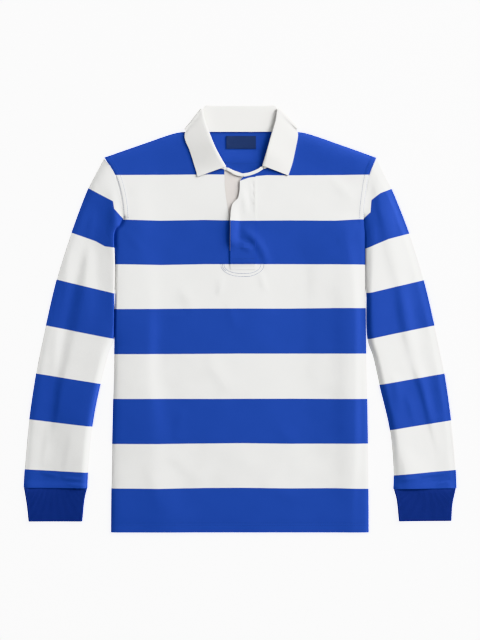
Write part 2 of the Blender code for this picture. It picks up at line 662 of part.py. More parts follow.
def wall(name, grid, thickness, colour, wrap=False, keep=None, raised=None, roughness=0.9):
    """Make one closed cloth wall from the grid of points in the middle of its cloth."""
    outer, inner = skins(grid, thickness, wrap)
    if np.ptp(outer[..., 2]) < np.ptp(inner[..., 2]):
        outer, inner = inner, outer
    if raised is not None:
        outer = outer + raised[..., None] * np.array([0.0, 0.0, 1.0])
    rows, columns = grid.shape[:2]
    bm = tube_mesh(rows, columns) if wrap else sheet_mesh(rows, columns, keep)
    first_skin = set(bm.verts)
    bmesh.ops.solidify(bm, geom=bm.faces[:], thickness=0.1)
    row, column = bm.verts.layers.int["row"], bm.verts.layers.int["column"]
    for vert in bm.verts:
        skin = outer if vert in first_skin else inner
        vert.co = skin[vert[row], vert[column]] * MM
    if bm.calc_volume(signed=True) < 0.0:
        bmesh.ops.reverse_faces(bm, faces=bm.faces[:])
    mesh = bpy.data.meshes.new(name)
    bm.to_mesh(mesh)
    bm.free()
    mesh.shade_smooth()
    mesh.set_sharp_from_angle(angle=np.radians(50.0))
    mesh.materials.append(material(name + "_cloth", colour, roughness))
    piece = bpy.data.objects.new(name, mesh)
    bpy.context.scene.collection.objects.link(piece)
    return piece


BLUE = (0.014, 0.063, 0.43)
DARK_BLUE = (0.009, 0.03, 0.2)
WHITE = (0.85, 0.85, 0.83)
NAVY = (0.02, 0.05, 0.12)


def build_body():
    """Front and back, with the placket pieces in the slit of the front."""
    plan, keep, slit = front_plan()
    wall("front", lifted(plan, front_height(plan)), JERSEY, BLUE, keep=keep)
    plan = back_plan()
    wall("back", lifted(plan, np.full(plan.shape[:2], BACK_LEVEL)), JERSEY, BLUE)
    wall("under_placket", under_placket_grid(slit), JERSEY, WHITE)
    wall("fly_placket", fly_grid(), JERSEY, BLUE)


def build_sleeves():
    """Sleeves and rib cuffs."""
    sleeves = {"right": (SLEEVE_RIGHT, SLEEVE_RIGHT_FOLDS, CUFF_RIGHT),
               "left": (SLEEVE_LEFT, SLEEVE_LEFT_FOLDS, CUFF_LEFT)}
    for hand, (stations, ridges, cuff) in sleeves.items():
        wall("sleeve_" + hand, sleeve_rings(hand, stations, ridges), JERSEY, BLUE, wrap=True)
        rings, ribs = cuff_rings(cuff)
        wall("cuff_" + hand, rings, RIB_KNIT, DARK_BLUE, wrap=True, raised=ribs)


def build_neck():
    """Collar, neck tape and label."""
    wall("collar", collar_grid(), TWILL, WHITE)
    wall("neck_tape_right", strip_grid(TAPE_RIGHT, TAPE_WIDTH, LEVEL_OVER_FRONT), JERSEY, WHITE)
    wall("neck_tape_left", strip_grid(TAPE_LEFT, TAPE_WIDTH, LEVEL_OVER_FRONT), JERSEY, WHITE)
    wall("neck_label", label_grid(), LABEL_TAPE, NAVY, roughness=0.6)


def main():
    """Clear the scene and build the shirt."""
    for item in list(bpy.data.objects):
        bpy.data.objects.remove(item, do_unlink=True)
    build_body()
    build_sleeves()
    build_neck()


main()
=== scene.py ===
"""Long-sleeve rugby shirt with a twill collar, laid flat on its back in a plain studio.

The forms repeat the solids' own sizes, in millimetres from the middle of the shirt, and make
each sewn piece as a thin cloth wall: a grid of the cloth's middle surface with listed creases,
given its thickness by bmesh. +X is the wearer's left, +Y the collar, +Z up.
"""
import bpy
import bmesh
import numpy as np
from mathutils import Matrix, Vector


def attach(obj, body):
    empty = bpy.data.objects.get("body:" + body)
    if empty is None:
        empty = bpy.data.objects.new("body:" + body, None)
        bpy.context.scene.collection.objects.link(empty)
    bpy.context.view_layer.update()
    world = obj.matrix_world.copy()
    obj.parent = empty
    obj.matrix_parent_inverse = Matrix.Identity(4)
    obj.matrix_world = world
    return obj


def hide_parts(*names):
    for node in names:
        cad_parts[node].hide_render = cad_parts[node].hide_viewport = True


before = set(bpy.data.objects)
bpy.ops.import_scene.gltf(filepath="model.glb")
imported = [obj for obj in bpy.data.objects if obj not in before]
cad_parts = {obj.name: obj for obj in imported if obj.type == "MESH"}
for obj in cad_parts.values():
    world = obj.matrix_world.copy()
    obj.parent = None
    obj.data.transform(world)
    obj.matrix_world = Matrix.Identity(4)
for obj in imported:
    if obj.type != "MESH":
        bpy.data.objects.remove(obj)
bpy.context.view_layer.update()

bl_info = {
    "name": "Laid-flat rugby shirt",
    "version": (1, 0, 0),
    "blender": (4, 5, 0),
    "location": "View3D > Sidebar > Shirt",
    "description": "Builds a striped long-sleeve shirt with collar, placket and rib cuffs",
    "category": "Add Mesh",
}

MM = 0.001

# The lay of the cloth: half the jersey's thickness, the heights above the surface of the middle of
# the back, the front and the folds between them, and what lies on the front above its middle.
JERSEY_HALF = 0.5
BACK_LEVEL = 0.75
FRONT_LEVEL = 2.85
FOLD_LEVEL = (BACK_LEVEL + FRONT_LEVEL) / 2
FOLD_RADIUS = (FRONT_LEVEL - BACK_LEVEL) / 2
LEVEL_OVER_FRONT = 1.9
COLLAR_OVER_FRONT = 2.15
# At a fold, front and back each keep this far from its level and round into it over this distance.
EDGE_PARTING = 0.52
EDGE_ROUNDING = 3.2
# Where the creases of the back come in, from a fold inwards.
BACK_CREASE_REACH = (4.0, 24.0)
# The loft of the front: its crest beside a fold and how far that reaches, its rise over the whole,
# the distance from a fold over which it comes, and the limits of rise and dip.
SIDE_LOFT, SHOULDER_LOFT = 0.8, 1.5
LOFT_NEAR, LOFT_FAR, LOFT_LIMIT = 16.0, 60.0, 5.5
BODY_LOFT, EDGE_LOFT, DIP_LIMIT = 0.9, 6.0, 0.8
# The stretch of the wearer's right side that stands steeply beside the sleeve.
STEEP_EDGE, STEEP_MIDDLE, STEEP_REACH = 3.2, 40.0, (70.0, 92.0)
# The seam allowance shows as a low band inside the armhole, and the hem's upper row as a groove.
ALLOWANCE, ALLOWANCE_MIDDLE, ALLOWANCE_REACH = 0.45, 5.0, 3.6
HEM_GROOVE, HEM_GROOVE_REACH = 0.3, 2.2

HEM = -383.5
HEM_DEPTH = 17.5
PLACKET_BASE = 92.7
PLACKET_INNER = 19.6
NECK_SEAM = 338.0
LABEL = {"left": -24.8, "right": 28.4, "low": 307.4, "high": 330.5}
# The label: its height and thickness, low waves closer than the shirt's, and its turned lower end.
LABEL_LEVEL, LABEL_CLOTH = 2.25, 0.7
LABEL_WAVE, LABEL_WAVES_CLOSER = 0.25, 4.0
LABEL_TURN, LABEL_TURN_REACH = 0.075, (309.5, 311.5)

# Largest width and length of each flat cut, in metres.
CUT = {"body": (0.49, 0.722), "sleeve": (0.36, 0.62), "cuff": (0.235, 0.062),
       "collar": (0.56, 0.1), "neck tape": (0.038, 0.01), "under placket": (0.05, 0.18),
       "fly": (0.047, 0.178), "facing": (0.026, 0.135), "label": (0.0535, 0.0235)}

# Cells and steps of the fine grids.
BODY_CELL = 3.7
BACK_CELL = 6.0
HALF_WIDTH = 225.0
SLIT_CELLS = 8
HEM_STEPS = np.array([0.0, 1.2, 4.0])
EDGE_STEPS = np.array([0.0, 0.35, 0.9, 1.8, 3.2, 5.5])
FOLD_STEPS = np.array([0.0, 0.1, 0.31, 0.62, 1.05, 1.8, 3.2, 6.0, 10.0])
SLEEVE_MIDDLE = 30
SLEEVE_SPAN, CUFF_SPAN, FLY_SPAN, COLLAR_SPAN = 16, 10, 9, 7
CUFF_SHARES = np.concatenate([[0.0, 0.015], np.linspace(0.05, 0.95, 15), [0.985, 1.0]])
CUFF_EDGE_STEPS = np.array([0.0, 0.37, 0.8, 1.25])
FLY_SHARES = np.concatenate([[0.0, 0.02, 0.05], np.linspace(0.09, 1.0, 16)])
UNDER_ROWS, UNDER_COLUMNS = 60, 15
TAPE_COLUMNS = 5
LABEL_COLUMNS, LABEL_ROWS = 28, 13
STAND_STEPS, TURN_STEPS, FALL_STEPS = 10, 8, 12


def table(columns, *rows):
    """Give each column of a short list of rows its name."""
    values = np.array(rows, dtype=float)
    return {name: values[:, k] for k, name in enumerate(columns.split())}


SIDES = table("y wearer_right wearer_left",
              (-383.5, -232.4, 231.7), (-304.0, -231.8, 231.3), (-223.4, -230.4, 230.4),
              (-142.7, -228.6, 229.1), (-61.9, -226.8, 227.2), (19.4, -225.6, 226.2),
              (99.9, -224.4, 225.2), (161.1, -224.4, 224.8), (168.0, -217.5, 224.2),
              (181.0, -209.6, 222.8))
ARMHOLE = {
    "right": table("x y", (-209.6, 181.0), (-211.4, 206.1), (-216.2, 233.1), (-225.6, 262.0),
                   (-244.6, 291.6)),
    "left": table("x y", (222.8, 181.0), (223.9, 199.0), (226.8, 226.0), (233.2, 261.9),
                  (245.5, 291.2))}
SHOULDER = {
    "right": table("x y", (-244.6, 291.6), (-172.4, 316.8), (-114.7, 336.0), (-93.8, 338.0)),
    "left": table("x y", (245.5, 291.2), (179.8, 314.8), (113.9, 336.4), (92.5, 338.0))}
NECKLINE = {
    "right": table("x y", (-93.8, 338.0), (-89.3, 317.7), (-77.6, 297.0), (-57.8, 280.8),
                   (-39.8, 274.5), (-29.0, 272.3)),
    "left": table("x y", (92.5, 338.0), (88.0, 315.9), (73.6, 292.5), (53.8, 277.6),
                  (39.4, 270.0), (28.6, 265.0), (19.6, 261.4))}
SLIT_EDGE = table("x y", (-14.5, 92.7), (-19.0, 181.0), (-23.6, 206.0), (-27.2, 233.0),
                  (-28.6, 261.0), (-29.0, 272.3))
FLY_EDGE = table("x y lift",
                 (-17.5, 90.0, 0.0), (-18.0, 112.0, 0.0), (-17.9, 129.0, 0.5), (-17.8, 140.0, 3.6),
                 (-17.6, 165.0, 5.0), (-17.3, 183.4, 2.8), (-14.0, 206.5, 1.7),
                 (-3.8, 218.5, 1.2), (-0.6, 234.0, 1.0), (0.2, 249.3, 0.7), (5.8, 256.6, 0.2))
FLY_INNER = 27.7
# The lift of the fly's free edge is gone this far in.
FLY_LIFT_REACH = 18.0
# Up to the first height the fly is sewn down, thin and low, and from the second it isn't.
FLY_BASE, FLY_BASE_LEVEL = (91.0, 106.0), 0.75
FLY_CLOTH, FLY_CLOTH_BASE = 1.1, 0.35
FLY_CREASE_DEPTH = 0.5
# The facing shows beside the free edge of the fly, from a row above its base.
FACING_OUT, FACING_DROP, FACING_CLOTH = 0.7, 0.85, 0.5
FACING_FIRST_ROW, FACING_COLUMNS = 15, 8
# The under placket lies below the front's middle and stops short of the slit's upper corner.
UNDER_DROP, UNDER_CORNER = 0.25, 1.0
TAPE = {
    "right": table("x y", (-30.6, 274.2), (-25.6, 271.4), (-19.3, 268.9), (-7.6, 262.3),
                   (2.6, 259.9), (5.2, 259.7)),
    "left": table("x y", (45.2, 277.2), (40.6, 273.6), (35.2, 269.4), (24.6, 264.3),
                  (14.6, 261.2), (5.8, 259.6))}
TAPE_WIDTH, TAPE_GAP, TAPE_CROWN = 5.4, 0.6, 0.35
# A neck tape dips under the collar up to the first distance from its outer end, and no longer from
# the second.
TAPE_DIP, TAPE_DIP_REACH = 1.0, (5.0, 9.0)
TAPE_CLOTH, TAPE_CLOTH_TUCKED = 1.2, 0.75

SLEEVE_COLUMNS = "outer_x outer_y inner_x inner_y"
SLEEVE = {
    "right": table(SLEEVE_COLUMNS,
                   (-244.6, 291.6, -211.0, 181.4), (-262.0, 259.0, -217.6, 170.0),
                   (-273.6, 236.5, -224.4, 157.0), (-304.0, 156.4, -226.2, 122.0),
                   (-330.7, 72.0, -226.4, 47.0), (-350.1, -10.6, -227.2, -34.9),
                   (-359.5, -54.0, -236.4, -62.0), (-367.7, -97.0, -250.6, -115.6),
                   (-380.0, -179.6, -265.5, -193.1), (-388.3, -269.5, -273.2, -275.4),
                   (-390.2, -302.7, -274.5, -303.5)),
    "left": table(SLEEVE_COLUMNS,
                  (245.5, 291.2, 224.0, 181.4), (261.0, 259.0, 225.8, 170.0),
                  (273.1, 235.6, 226.4, 157.0), (305.3, 154.6, 226.4, 122.0),
                  (331.2, 71.1, 227.0, 46.0), (350.6, -10.8, 229.2, -36.9),
                  (359.8, -54.0, 238.6, -66.0), (368.5, -97.0, 250.4, -117.7),
                  (380.5, -181.6, 269.3, -199.3), (388.8, -270.5, 276.1, -280.4),
                  (390.2, -303.5, 275.6, -305.3))}
SLEEVE_LOFT, SLEEVE_LOFT_REACH, SLEEVE_LIMIT = 0.9, (10.0, 40.0), {"right": 12.0, "left": 8.0}
# How far in from its outer and its inner fold a sleeve reaches its full rise. Beside the body the
# inner distance is another, which gives way to the free one between two places down the page, as -y.
OUTER_RISE = {"right": 6.0, "left": 14.0}
FREE_RISE = 7.0
BESIDE_RISE = {"right": 2.0, "left": 1.8}
BESIDE_END = {"right": (25.0, 45.0), "left": (-55.0, -30.0)}
# How far down the outer and the inner edge the bend of the armhole seam dies away.
BEND_REACH, BEND_REACH_INNER = 115.0, 18.0
# A sleeve's inner edge keeps this far from the body's side. It follows the side down to the first
# place on the page, as -y, and is free from the second.
SIDE_CLEARANCE = 0.75
BESIDE_BODY = (-60.0, -40.0)
# The sleeve is drawn in where the body's side turns into the armhole.
ARMPIT_CLOSING, ARMPIT_Y, ARMPIT_REACH = 1.3, 164.0, 6.0
# Where a ring of the sleeve leaves a fold aslant, its first steps are longer, down to this slant,
# and that fades this soon.
LEAST_SLANT = 0.35
SLANT_FADE = 8.0
# The upper cloth of a sleeve rises towards its cuff.
CUFF_FLARE, CUFF_FLARE_REACH = 1.2, 16.0
# Sewn pieces stand this far apart in plan, and a sleeve further at the two ends of its seam.
SEAM_GAP = 0.3
SEAM_CLEARANCE, SEAM_CLEARANCE_REACH = 1.0, 14.0

CUFF = {
    "right": table(SLEEVE_COLUMNS, (-389.6, -303.0, -275.0, -303.8),
                   (-384.9, -331.0, -279.6, -324.0), (-381.2, -363.6, -283.7, -363.6)),
    "left": table(SLEEVE_COLUMNS, (389.0, -303.8, 276.4, -305.6),
                  (383.2, -331.0, 281.4, -324.0), (381.0, -362.4, 285.6, -363.4))}
CUFF_CLOTH = 2.0
CUFF_LEVEL, CUFF_APEX, CUFF_LOFT, CUFF_LOFT_REACH = 3.4, 2.25, 0.9, (4.0, 45.0)
# The corners of a cuff's upper cloth are tucked into the sleeve, to this height and this far, which
# fades down the cuff and in from its folds.
CUFF_TUCKED, CUFF_TUCK, CUFF_TUCK_FADE, CUFF_TUCK_REACH = 2.95, 2.4, 4.0, (4.0, 9.0)
# The ribs of a cuff start a little in from its folds, and are pressed flat at its two ends.
RIBS, RIB_START, RIB_HEIGHT = 46, 2.4, 0.28
RIB_END, RIB_END_SHARE, RIB_END_DIP = 0.02, 0.6, 0.25

# The collar, row by row: its neck seam n, its roll r, the outer edge of its fall f and the room
# inside the roll. A rise is counted from the cloth of the front, a z from the surface.
COLLAR_FRONT = "n_x n_y n_rise r_x r_y r_z f_x f_y f_rise room"
COLLAR = {
    "right": table(COLLAR_FRONT,
                   (-30.2, 270.4, 0.0, -25.4, 275.8, 7.4, -76.3, 256.9, -0.3, 1.1),
                   (-53.0, 277.0, 0.0, -36.2, 293.8, 10.6, -81.4, 274.5, -0.3, 1.6),
                   (-79.2, 295.6, 0.0, -48.8, 319.5, 12.2, -90.5, 303.3, -0.2, 1.5),
                   (-92.4, 323.0, 0.4, -63.9, 360.9, 11.0, -99.4, 326.0, 0.4, 1.4),
                   (-90.0, 340.5, 1.2, -66.8, 378.0, 9.6, -98.5, 340.4, 1.6, 1.3)),
    "left": table(COLLAR_FRONT,
                  (89.5, 341.5, 1.2, 66.3, 379.4, 7.4, 102.1, 342.7, 1.6, 1.3),
                  (91.8, 322.0, 0.4, 63.7, 360.9, 8.4, 103.8, 331.0, 0.6, 1.4),
                  (75.0, 290.5, 0.0, 54.7, 328.5, 9.8, 99.2, 305.0, 0.0, 1.5),
                  (55.0, 275.8, 0.0, 47.5, 302.4, 10.0, 93.8, 280.8, -0.3, 1.6),
                  (43.8, 271.0, 0.0, 40.0, 278.0, 7.0, 86.8, 259.0, -0.3, 1.1)),
    "back": table("n_x n_y n_z r_x r_y r_z f_x f_y f_z room",
                  (-90.0, 340.5, 2.7, -66.8, 378.0, 2.2, -98.5, 340.4, 0.9, 1.3),
                  (-76.0, 337.9, 2.7, -62.6, 385.6, 2.2, -84.0, 340.0, 0.9, 1.3),
                  (-47.0, 337.9, 2.7, -47.0, 385.7, 2.2, -50.4, 339.4, 0.9, 1.3),
                  (0.0, 337.9, 2.7, 0.0, 385.7, 2.2, 0.0, 339.4, 0.9, 1.3),
                  (47.0, 337.9, 2.7, 47.0, 385.7, 2.2, 50.4, 339.4, 0.9, 1.3),
                  (76.0, 337.9, 2.7, 62.6, 385.8, 2.2, 84.4, 340.0, 0.9, 1.3),
                  (89.5, 341.5, 2.7, 66.3, 379.4, 2.2, 102.1, 342.7, 0.9, 1.3))}
COLLAR_TURN = 1.6
# The fall stands a little crowned, more towards the roll.
FALL_CROWN, FALL_CROWN_LEAN = 0.1, 0.8
MITRE_TURNS = np.radians(np.linspace(0.0, 180.0, 15)[1:-1])

# Folds: long soft ridges, or troughs where the height is below zero, each along a line down the
# page with its own width towards the wearer's right and left at each point.
FOLD = "x y west east height"
BODY_FOLDS = (
    # The ridge down the wearer's left, from the armhole to the hem.
    table(FOLD,
          (183.4, 193.5, 36, 20, 0), (185.2, 168.3, 40, 18, 2), (190.6, 134.1, 42, 14, 2.6),
          (197.8, 98.1, 38, 11, 3), (203.2, 53.1, 34, 9, 3.9), (205, -20.7, 30, 8.5, 4.8),
          (205, -101.7, 32, 8.5, 4.2), (205, -182.7, 29, 8.5, 4.6), (205, -261.9, 32, 8.5, 2.8),
          (201.4, -324.9, 28, 8.5, 1.2), (201.4, -378.9, 24, 8.5, 0.6)),
    # The broad ridge down the wearer's right.
    table(FOLD,
          (-169.4, 236.7, 16, 20, 0), (-180.2, 206.1, 16, 20, 0.9), (-182, 143.1, 19, 24, 1.2),
          (-176.6, 103.5, 22, 22, 1.4), (-167.6, 53.1, 32, 18, 2), (-167.6, -20.7, 44, 15, 3.6),
          (-167.6, -101.7, 44, 15, 3.4), (-162.2, -182.7, 46, 22, 3.6),
          (-162.2, -261.9, 48, 28, 1.8), (-140.6, -333.9, 66, 30, 2.8),
          (-133.4, -380.7, 66, 30, 1.8)),
    # The shallow trough inside the wearer's left ridge.
    table(FOLD,
          (93.4, 206.1, 50, 26, 0), (98.8, 152.1, 52, 26, -0.9), (104.2, 60.3, 60, 28, -2.2),
          (104.2, -20.7, 60, 28, -1.7), (109.6, -101.7, 58, 28, -1.5),
          (116.8, -182.7, 50, 28, -1.1), (125.8, -261.9, 50, 28, -0.5), (129.4, -306.9, 50, 28, 0)),
    # The low rise of the chest under the placket.
    table(FOLD,
          (-7.4, 258.3, 60, 60, 0), (-0.2, 233.1, 66, 60, 1), (1.6, 204.3, 66, 60, 1.3),
          (1.6, 175.5, 60, 60, 0.5), (1.6, 157.5, 60, 60, 0)),
    # The rise along the wearer's right armhole and side, beside the sleeve.
    table(FOLD,
          (-245, 292.5, 20, 30, 0), (-234.2, 278.1, 20, 36, 1.2), (-221.6, 247.5, 20, 44, 2.4),
          (-212.6, 215.1, 14, 50, 2.6), (-212.6, 182.7, 14, 58, 2.6), (-218, 157.5, 12, 60, 2.8),
          (-224.5, 125.1, 6, 60, 3.4), (-224.5, 92.7, 6, 60, 3.6), (-224.5, 53.1, 6, 60, 3.2),
          (-224.8, 8.1, 6, 50, 3), (-225.2, -18.9, 6, 50, 2), (-225.2, -47.7, 6, 50, 0)),
    # The diagonal over the lower fly.
    table(FOLD,
          (1.6, 164.7, 5, 8, 0), (10.6, 157.5, 5.5, 8, 1), (23.2, 146.7, 5.5, 8, 1.5),
          (35.8, 130.5, 5.5, 8, 1.5), (43.9, 112.5, 5, 8, 1.2), (47.5, 96.3, 5, 8, 0.4),
          (48.4, 87.3, 5, 8, 0)))
SLEEVE_FOLDS = {
    "right": (
        # The broad ridge along the inner side, from the armhole to the cuff.
        table(FOLD,
              (-241.4, 287.1, 30, 20, 0.6), (-234.2, 247.5, 30, 20, 2.6),
              (-227, 197.1, 34, 20, 2.8), (-223.4, 143.1, 44, 20, 3.2),
              (-221.6, 53.1, 46, 20, 3.6), (-228.8, -9.9, 48, 20, 4.2), (-254, -81.9, 50, 18, 5.2),
              (-268.4, -162.9, 52, 16, 5.6), (-279.2, -234.9, 52, 18, 4.8),
              (-284.6, -296.1, 50, 20, 3.4)),
        # The narrow crest on the inner fold, beside the body.
        table(FOLD,
              (-234.2, 281.7, 14, 8, 0), (-227, 245.7, 13, 8, 1.2), (-224.3, 209.7, 11, 8, 2.4),
              (-224.3, 179.1, 10, 8, 2.8), (-223.4, 132.3, 10, 8, 2.8),
              (-221.6, 103.5, 10, 8, 2.6), (-221.6, 35.1, 10, 8, 2.8), (-222.5, -27.9, 9, 8, 2.2),
              (-223.4, -62.1, 8, 8, 0)),
        # The fold down the middle, from the upper arm to the lower.
        table(FOLD,
              (-270.2, 135.9, 7, 12, 0), (-274.7, 103.5, 8, 15, 1.6), (-279.2, 53.1, 14, 19, 3),
              (-287.3, 2.7, 15, 36, 3), (-298.1, -36.9, 12, 40, 2), (-306.2, -72.9, 11, 42, 2.2),
              (-317.9, -117.9, 9, 46, 2.8), (-325.1, -162.9, 7.5, 46, 2.4),
              (-331.4, -198.9, 8, 40, 0.8), (-338.6, -227.7, 8, 34, 0)),
        # The low fold outside it.
        table(FOLD,
              (-306.2, 125.1, 8, 10, 0), (-308.9, 89.1, 8, 10, 0.7), (-315.2, 42.3, 7, 9, 0.8),
              (-324.2, 2.7, 8, 10, 0.5), (-331.4, -45.9, 10, 9, 0.9), (-335, -94.5, 9, 9, 0.5),
              (-342.2, -130.5, 8, 9, 0)),
        # The outer of two short folds above the cuff.
        table(FOLD,
              (-344, -188.1, 5, 10, 0), (-347.6, -216.9, 5, 10, 0.6), (-353, -249.3, 5, 10, 0.5),
              (-354.8, -270.9, 5, 10, 0)),
        # The inner of them.
        table(FOLD,
              (-299, -188.1, 6, 14, 0), (-304.4, -216.9, 6, 14, 0.6), (-311.6, -256.5, 6, 14, 0.7),
              (-317, -288.9, 6, 14, 0))),
    "left": (
        # The broad ridge along the inner side, from the armhole to the cuff.
        table(FOLD,
              (237.4, 265.5, 10, 40, 0), (241, 224.1, 14, 44, 2.8), (244.6, 143.1, 16, 54, 5),
              (241, 89.1, 13, 60, 5.6), (235.6, 35.1, 9, 64, 6), (237.4, -9.9, 10, 62, 5.2),
              (246.4, -54.9, 11, 60, 4), (259, -99.9, 11, 58, 3.3), (269.8, -144.9, 11, 56, 3.1),
              (284.2, -198.9, 13, 52, 3), (296.8, -270.9, 18, 46, 2.4),
              (302.2, -299.7, 20, 46, 1.3)),
        # The long fold down the middle.
        table(FOLD,
              (241, 269.1, 5, 9, 0), (243.7, 243.9, 6, 9, 1.2), (251.8, 204.3, 8, 15, 3.2),
              (262.6, 164.7, 12, 16, 4.2), (271.6, 125.1, 13, 17, 3.6), (280.6, 89.1, 11, 18, 2.6),
              (288.7, 53.1, 9.5, 15, 2.6), (294.1, 17.1, 9.5, 13, 3.4),
              (302.2, -27.9, 10, 15, 2.6), (313, -72.9, 9, 14, 1.5), (326.5, -117.9, 6, 10, 2.3),
              (337.3, -162.9, 5, 9, 1.8), (349, -207.9, 5, 10, 0.8), (359.8, -245.7, 5, 10, 0)),
        # The inner of two short folds on the lower arm.
        table(FOLD,
              (273.4, -94.5, 6, 12, 0), (278.8, -116.1, 6, 12, 1.1), (282.4, -141.3, 6, 12, 0.7),
              (286, -166.5, 6, 12, 0)),
        # The outer of them.
        table(FOLD,
              (295, -130.5, 5, 8, 0), (304, -152.1, 5, 8, 0.6), (309.4, -173.7, 5, 8, 0.5),
              (314.8, -195.3, 5, 8, 0)),
        # The rise above the cuff.
        table(FOLD,
              (295, -227.7, 7, 16, 0), (296.8, -249.3, 8, 20, 1.2), (302.2, -274.5, 12, 26, 2.6),
              (304.9, -292.5, 14, 30, 3.2), (305.8, -303.3, 14, 30, 2)))}
# Short creases, which fade out to both ends.
CREASE = "x0 y0 x1 y1 width height"
BODY_CREASES = table(
    CREASE,
    (-59.6, -58.5, -21.8, -130.5, 13, 0.6), (59.2, -180.9, 107.8, -240.3, 14, 0.6),
    (-129.8, -238.5, -61.4, -299.7, 13, 0.5), (-196.4, 225.9, -147.8, 263.7, 9, 0.8),
    (201.4, 218.7, 161.8, 256.5, 9, 0.8), (-108.2, 62.1, -79.4, 9.9, 11, 0.6),
    (35.8, 85.5, 46.6, 49.5, 6, 0.7), (-32.6, 78.3, -38, 42.3, 6, 0.6),
    (-102.8, -162.9, -115.4, -216.9, 10, 0.6), (39.4, -297.9, 107.8, -324.9, 12, 0.5),
    (-21.8, 35.1, -7.4, -18.9, 8, 0.4), (-162.2, -270.9, -144.2, -342.9, 10, 0.6),
    (-208, 160, -172, 120, 7, 0.7), (210, 170, 176, 138, 7, 0.7))
SLEEVE_CREASES = {
    "right": table(
        CREASE,
        (-250.4, 276.3, -273.8, 240.3, 7, 0.8), (-320.6, -285.3, -277.4, -288.9, 3, 0.8),
        (-360.2, -274.5, -327.8, -281.7, 3, 0.6), (-313.4, -296.1, -270.2, -299.7, 2.6, 0.6),
        (-261.2, 193.5, -273.8, 143.1, 7, 0.5), (-245, -45.9, -263, -130.5, 7, 0.6)),
    "left": table(
        CREASE,
        (255.4, 258.3, 273.4, 222.3, 7, 0.7), (323.8, -281.7, 370.6, -276.3, 3, 0.8),
        (287.8, -288.9, 320.2, -285.3, 3, 0.6), (352.6, -296.1, 377.8, -292.5, 2.6, 0.6),
        (338.2, 35.1, 345.4, -36.9, 8, 0.6), (352.6, -72.9, 367, -166.5, 8, 0.6))}
FLY_CREASES = table(
    CREASE,
    (-3.8, 146.7, 21.4, 137.7, 3.6, -1.1), (1.6, 130.5, 21.4, 125.1, 5, 0.9),
    (27.2, 251.1, 27.2, 189.9, 1.6, 0.45), (5.2, 233.1, 10.6, 189.9, 5, 0.6),
    (-7.4, 189.9, -7.4, 157.5, 4, 0.7), (16, 233.1, 19.6, 193.5, 3.5, -0.5),
    (21, 246, 24.5, 236, 1.6, -0.4), (21.5, 229, 25, 219, 1.5, -0.45),
    (20.5, 211, 25, 203, 1.6, -0.4), (22, 195, 25.5, 187, 1.5, -0.35))
BACK_CREASES = table(
    CREASE,
    (-46, 286.5, 50, 286.5, 13, 2.3), (-150, 180, -120, -60, 9, 0.7), (140, 160, 168, -120, 9, 0.7),
    (-60, 60, 20, -40, 8, 0.5), (40, -160, 110, -300, 9, 0.6), (-130, -180, -150, -340, 8, 0.6))
# Low waves that leave no cloth quite level: cycles to a metre along x and y, turn and height.
WAVES = table("x y turn height",
              (7, 3, 0.3, 0.1), (-4, 9, 1.9, 0.09), (15, -6, 4.1, 0.06), (11, 17, 2.6, 0.05),
              (-23, 8, 5.2, 0.035), (6, -27, 0.9, 0.03))

# The hoops: their pitch above the first edge and below the last, and how sharply colours change.
HOOP_PITCH = 82.0
HOOP_SHARPNESS = 45.0
# The plan height where each next hoop starts, down the body.
HOOPS = np.array([261.5, 180.0, 99.7, 19.3, -61.9, -142.7, -223.4, -304.0])
# How far each hoop edge strays from its plan height, down the page, at places across the body.
HOOP_STRAY_AT = [-209.0, -144.0, -63.0, 0.0, 28.0, 48.0, 90.0, 171.0, 216.0]
HOOP_STRAY = np.array([[1.8, 1.4, 0.5, 1.1, 3.8, 1.9, 2.3, 1.8, 1.1],
                       [0.4, 2.2, 0.9, 2.3, 2.1, 1.9, 1.6, 2.2, -0.4],
                       [0.5, 1.8, 0.2, 0.2, 0.2, 0.2, 0.2, 0.5, 1.1],
                       [0.5, 0.2, -0.4, -0.5, -0.5, -0.4, -0.4, -1.4, -1.4],
                       [0.5, 0.4, 0.0, -0.5, -0.5, -0.4, -0.4, -0.5, -0.4],
                       [0.2, 0.0, 0.2, 0.0, -0.1, -0.1, -0.2, 0.2, 0.0],
                       [0.5, 0.7, -0.2, -0.9, -0.6, -0.3, 0.2, 0.0, 0.0],
                       [0.0, 0.5, -0.9, -1.3, -1.0, -0.7, -0.2, -0.7, 0.4]])
# On the fly the top hoop edge has dropped by this much towards the free side, down to the first
# place on the page, as -y, and no longer from the second.
FLY_HOOP_DROP = table("x drop", (0.4, 11.0), (5.2, 8.6), (17.8, 3.2), (32.2, 0.4), (44.8, 0.0))
FLY_HOOP_REACH = (-240.0, -200.0)
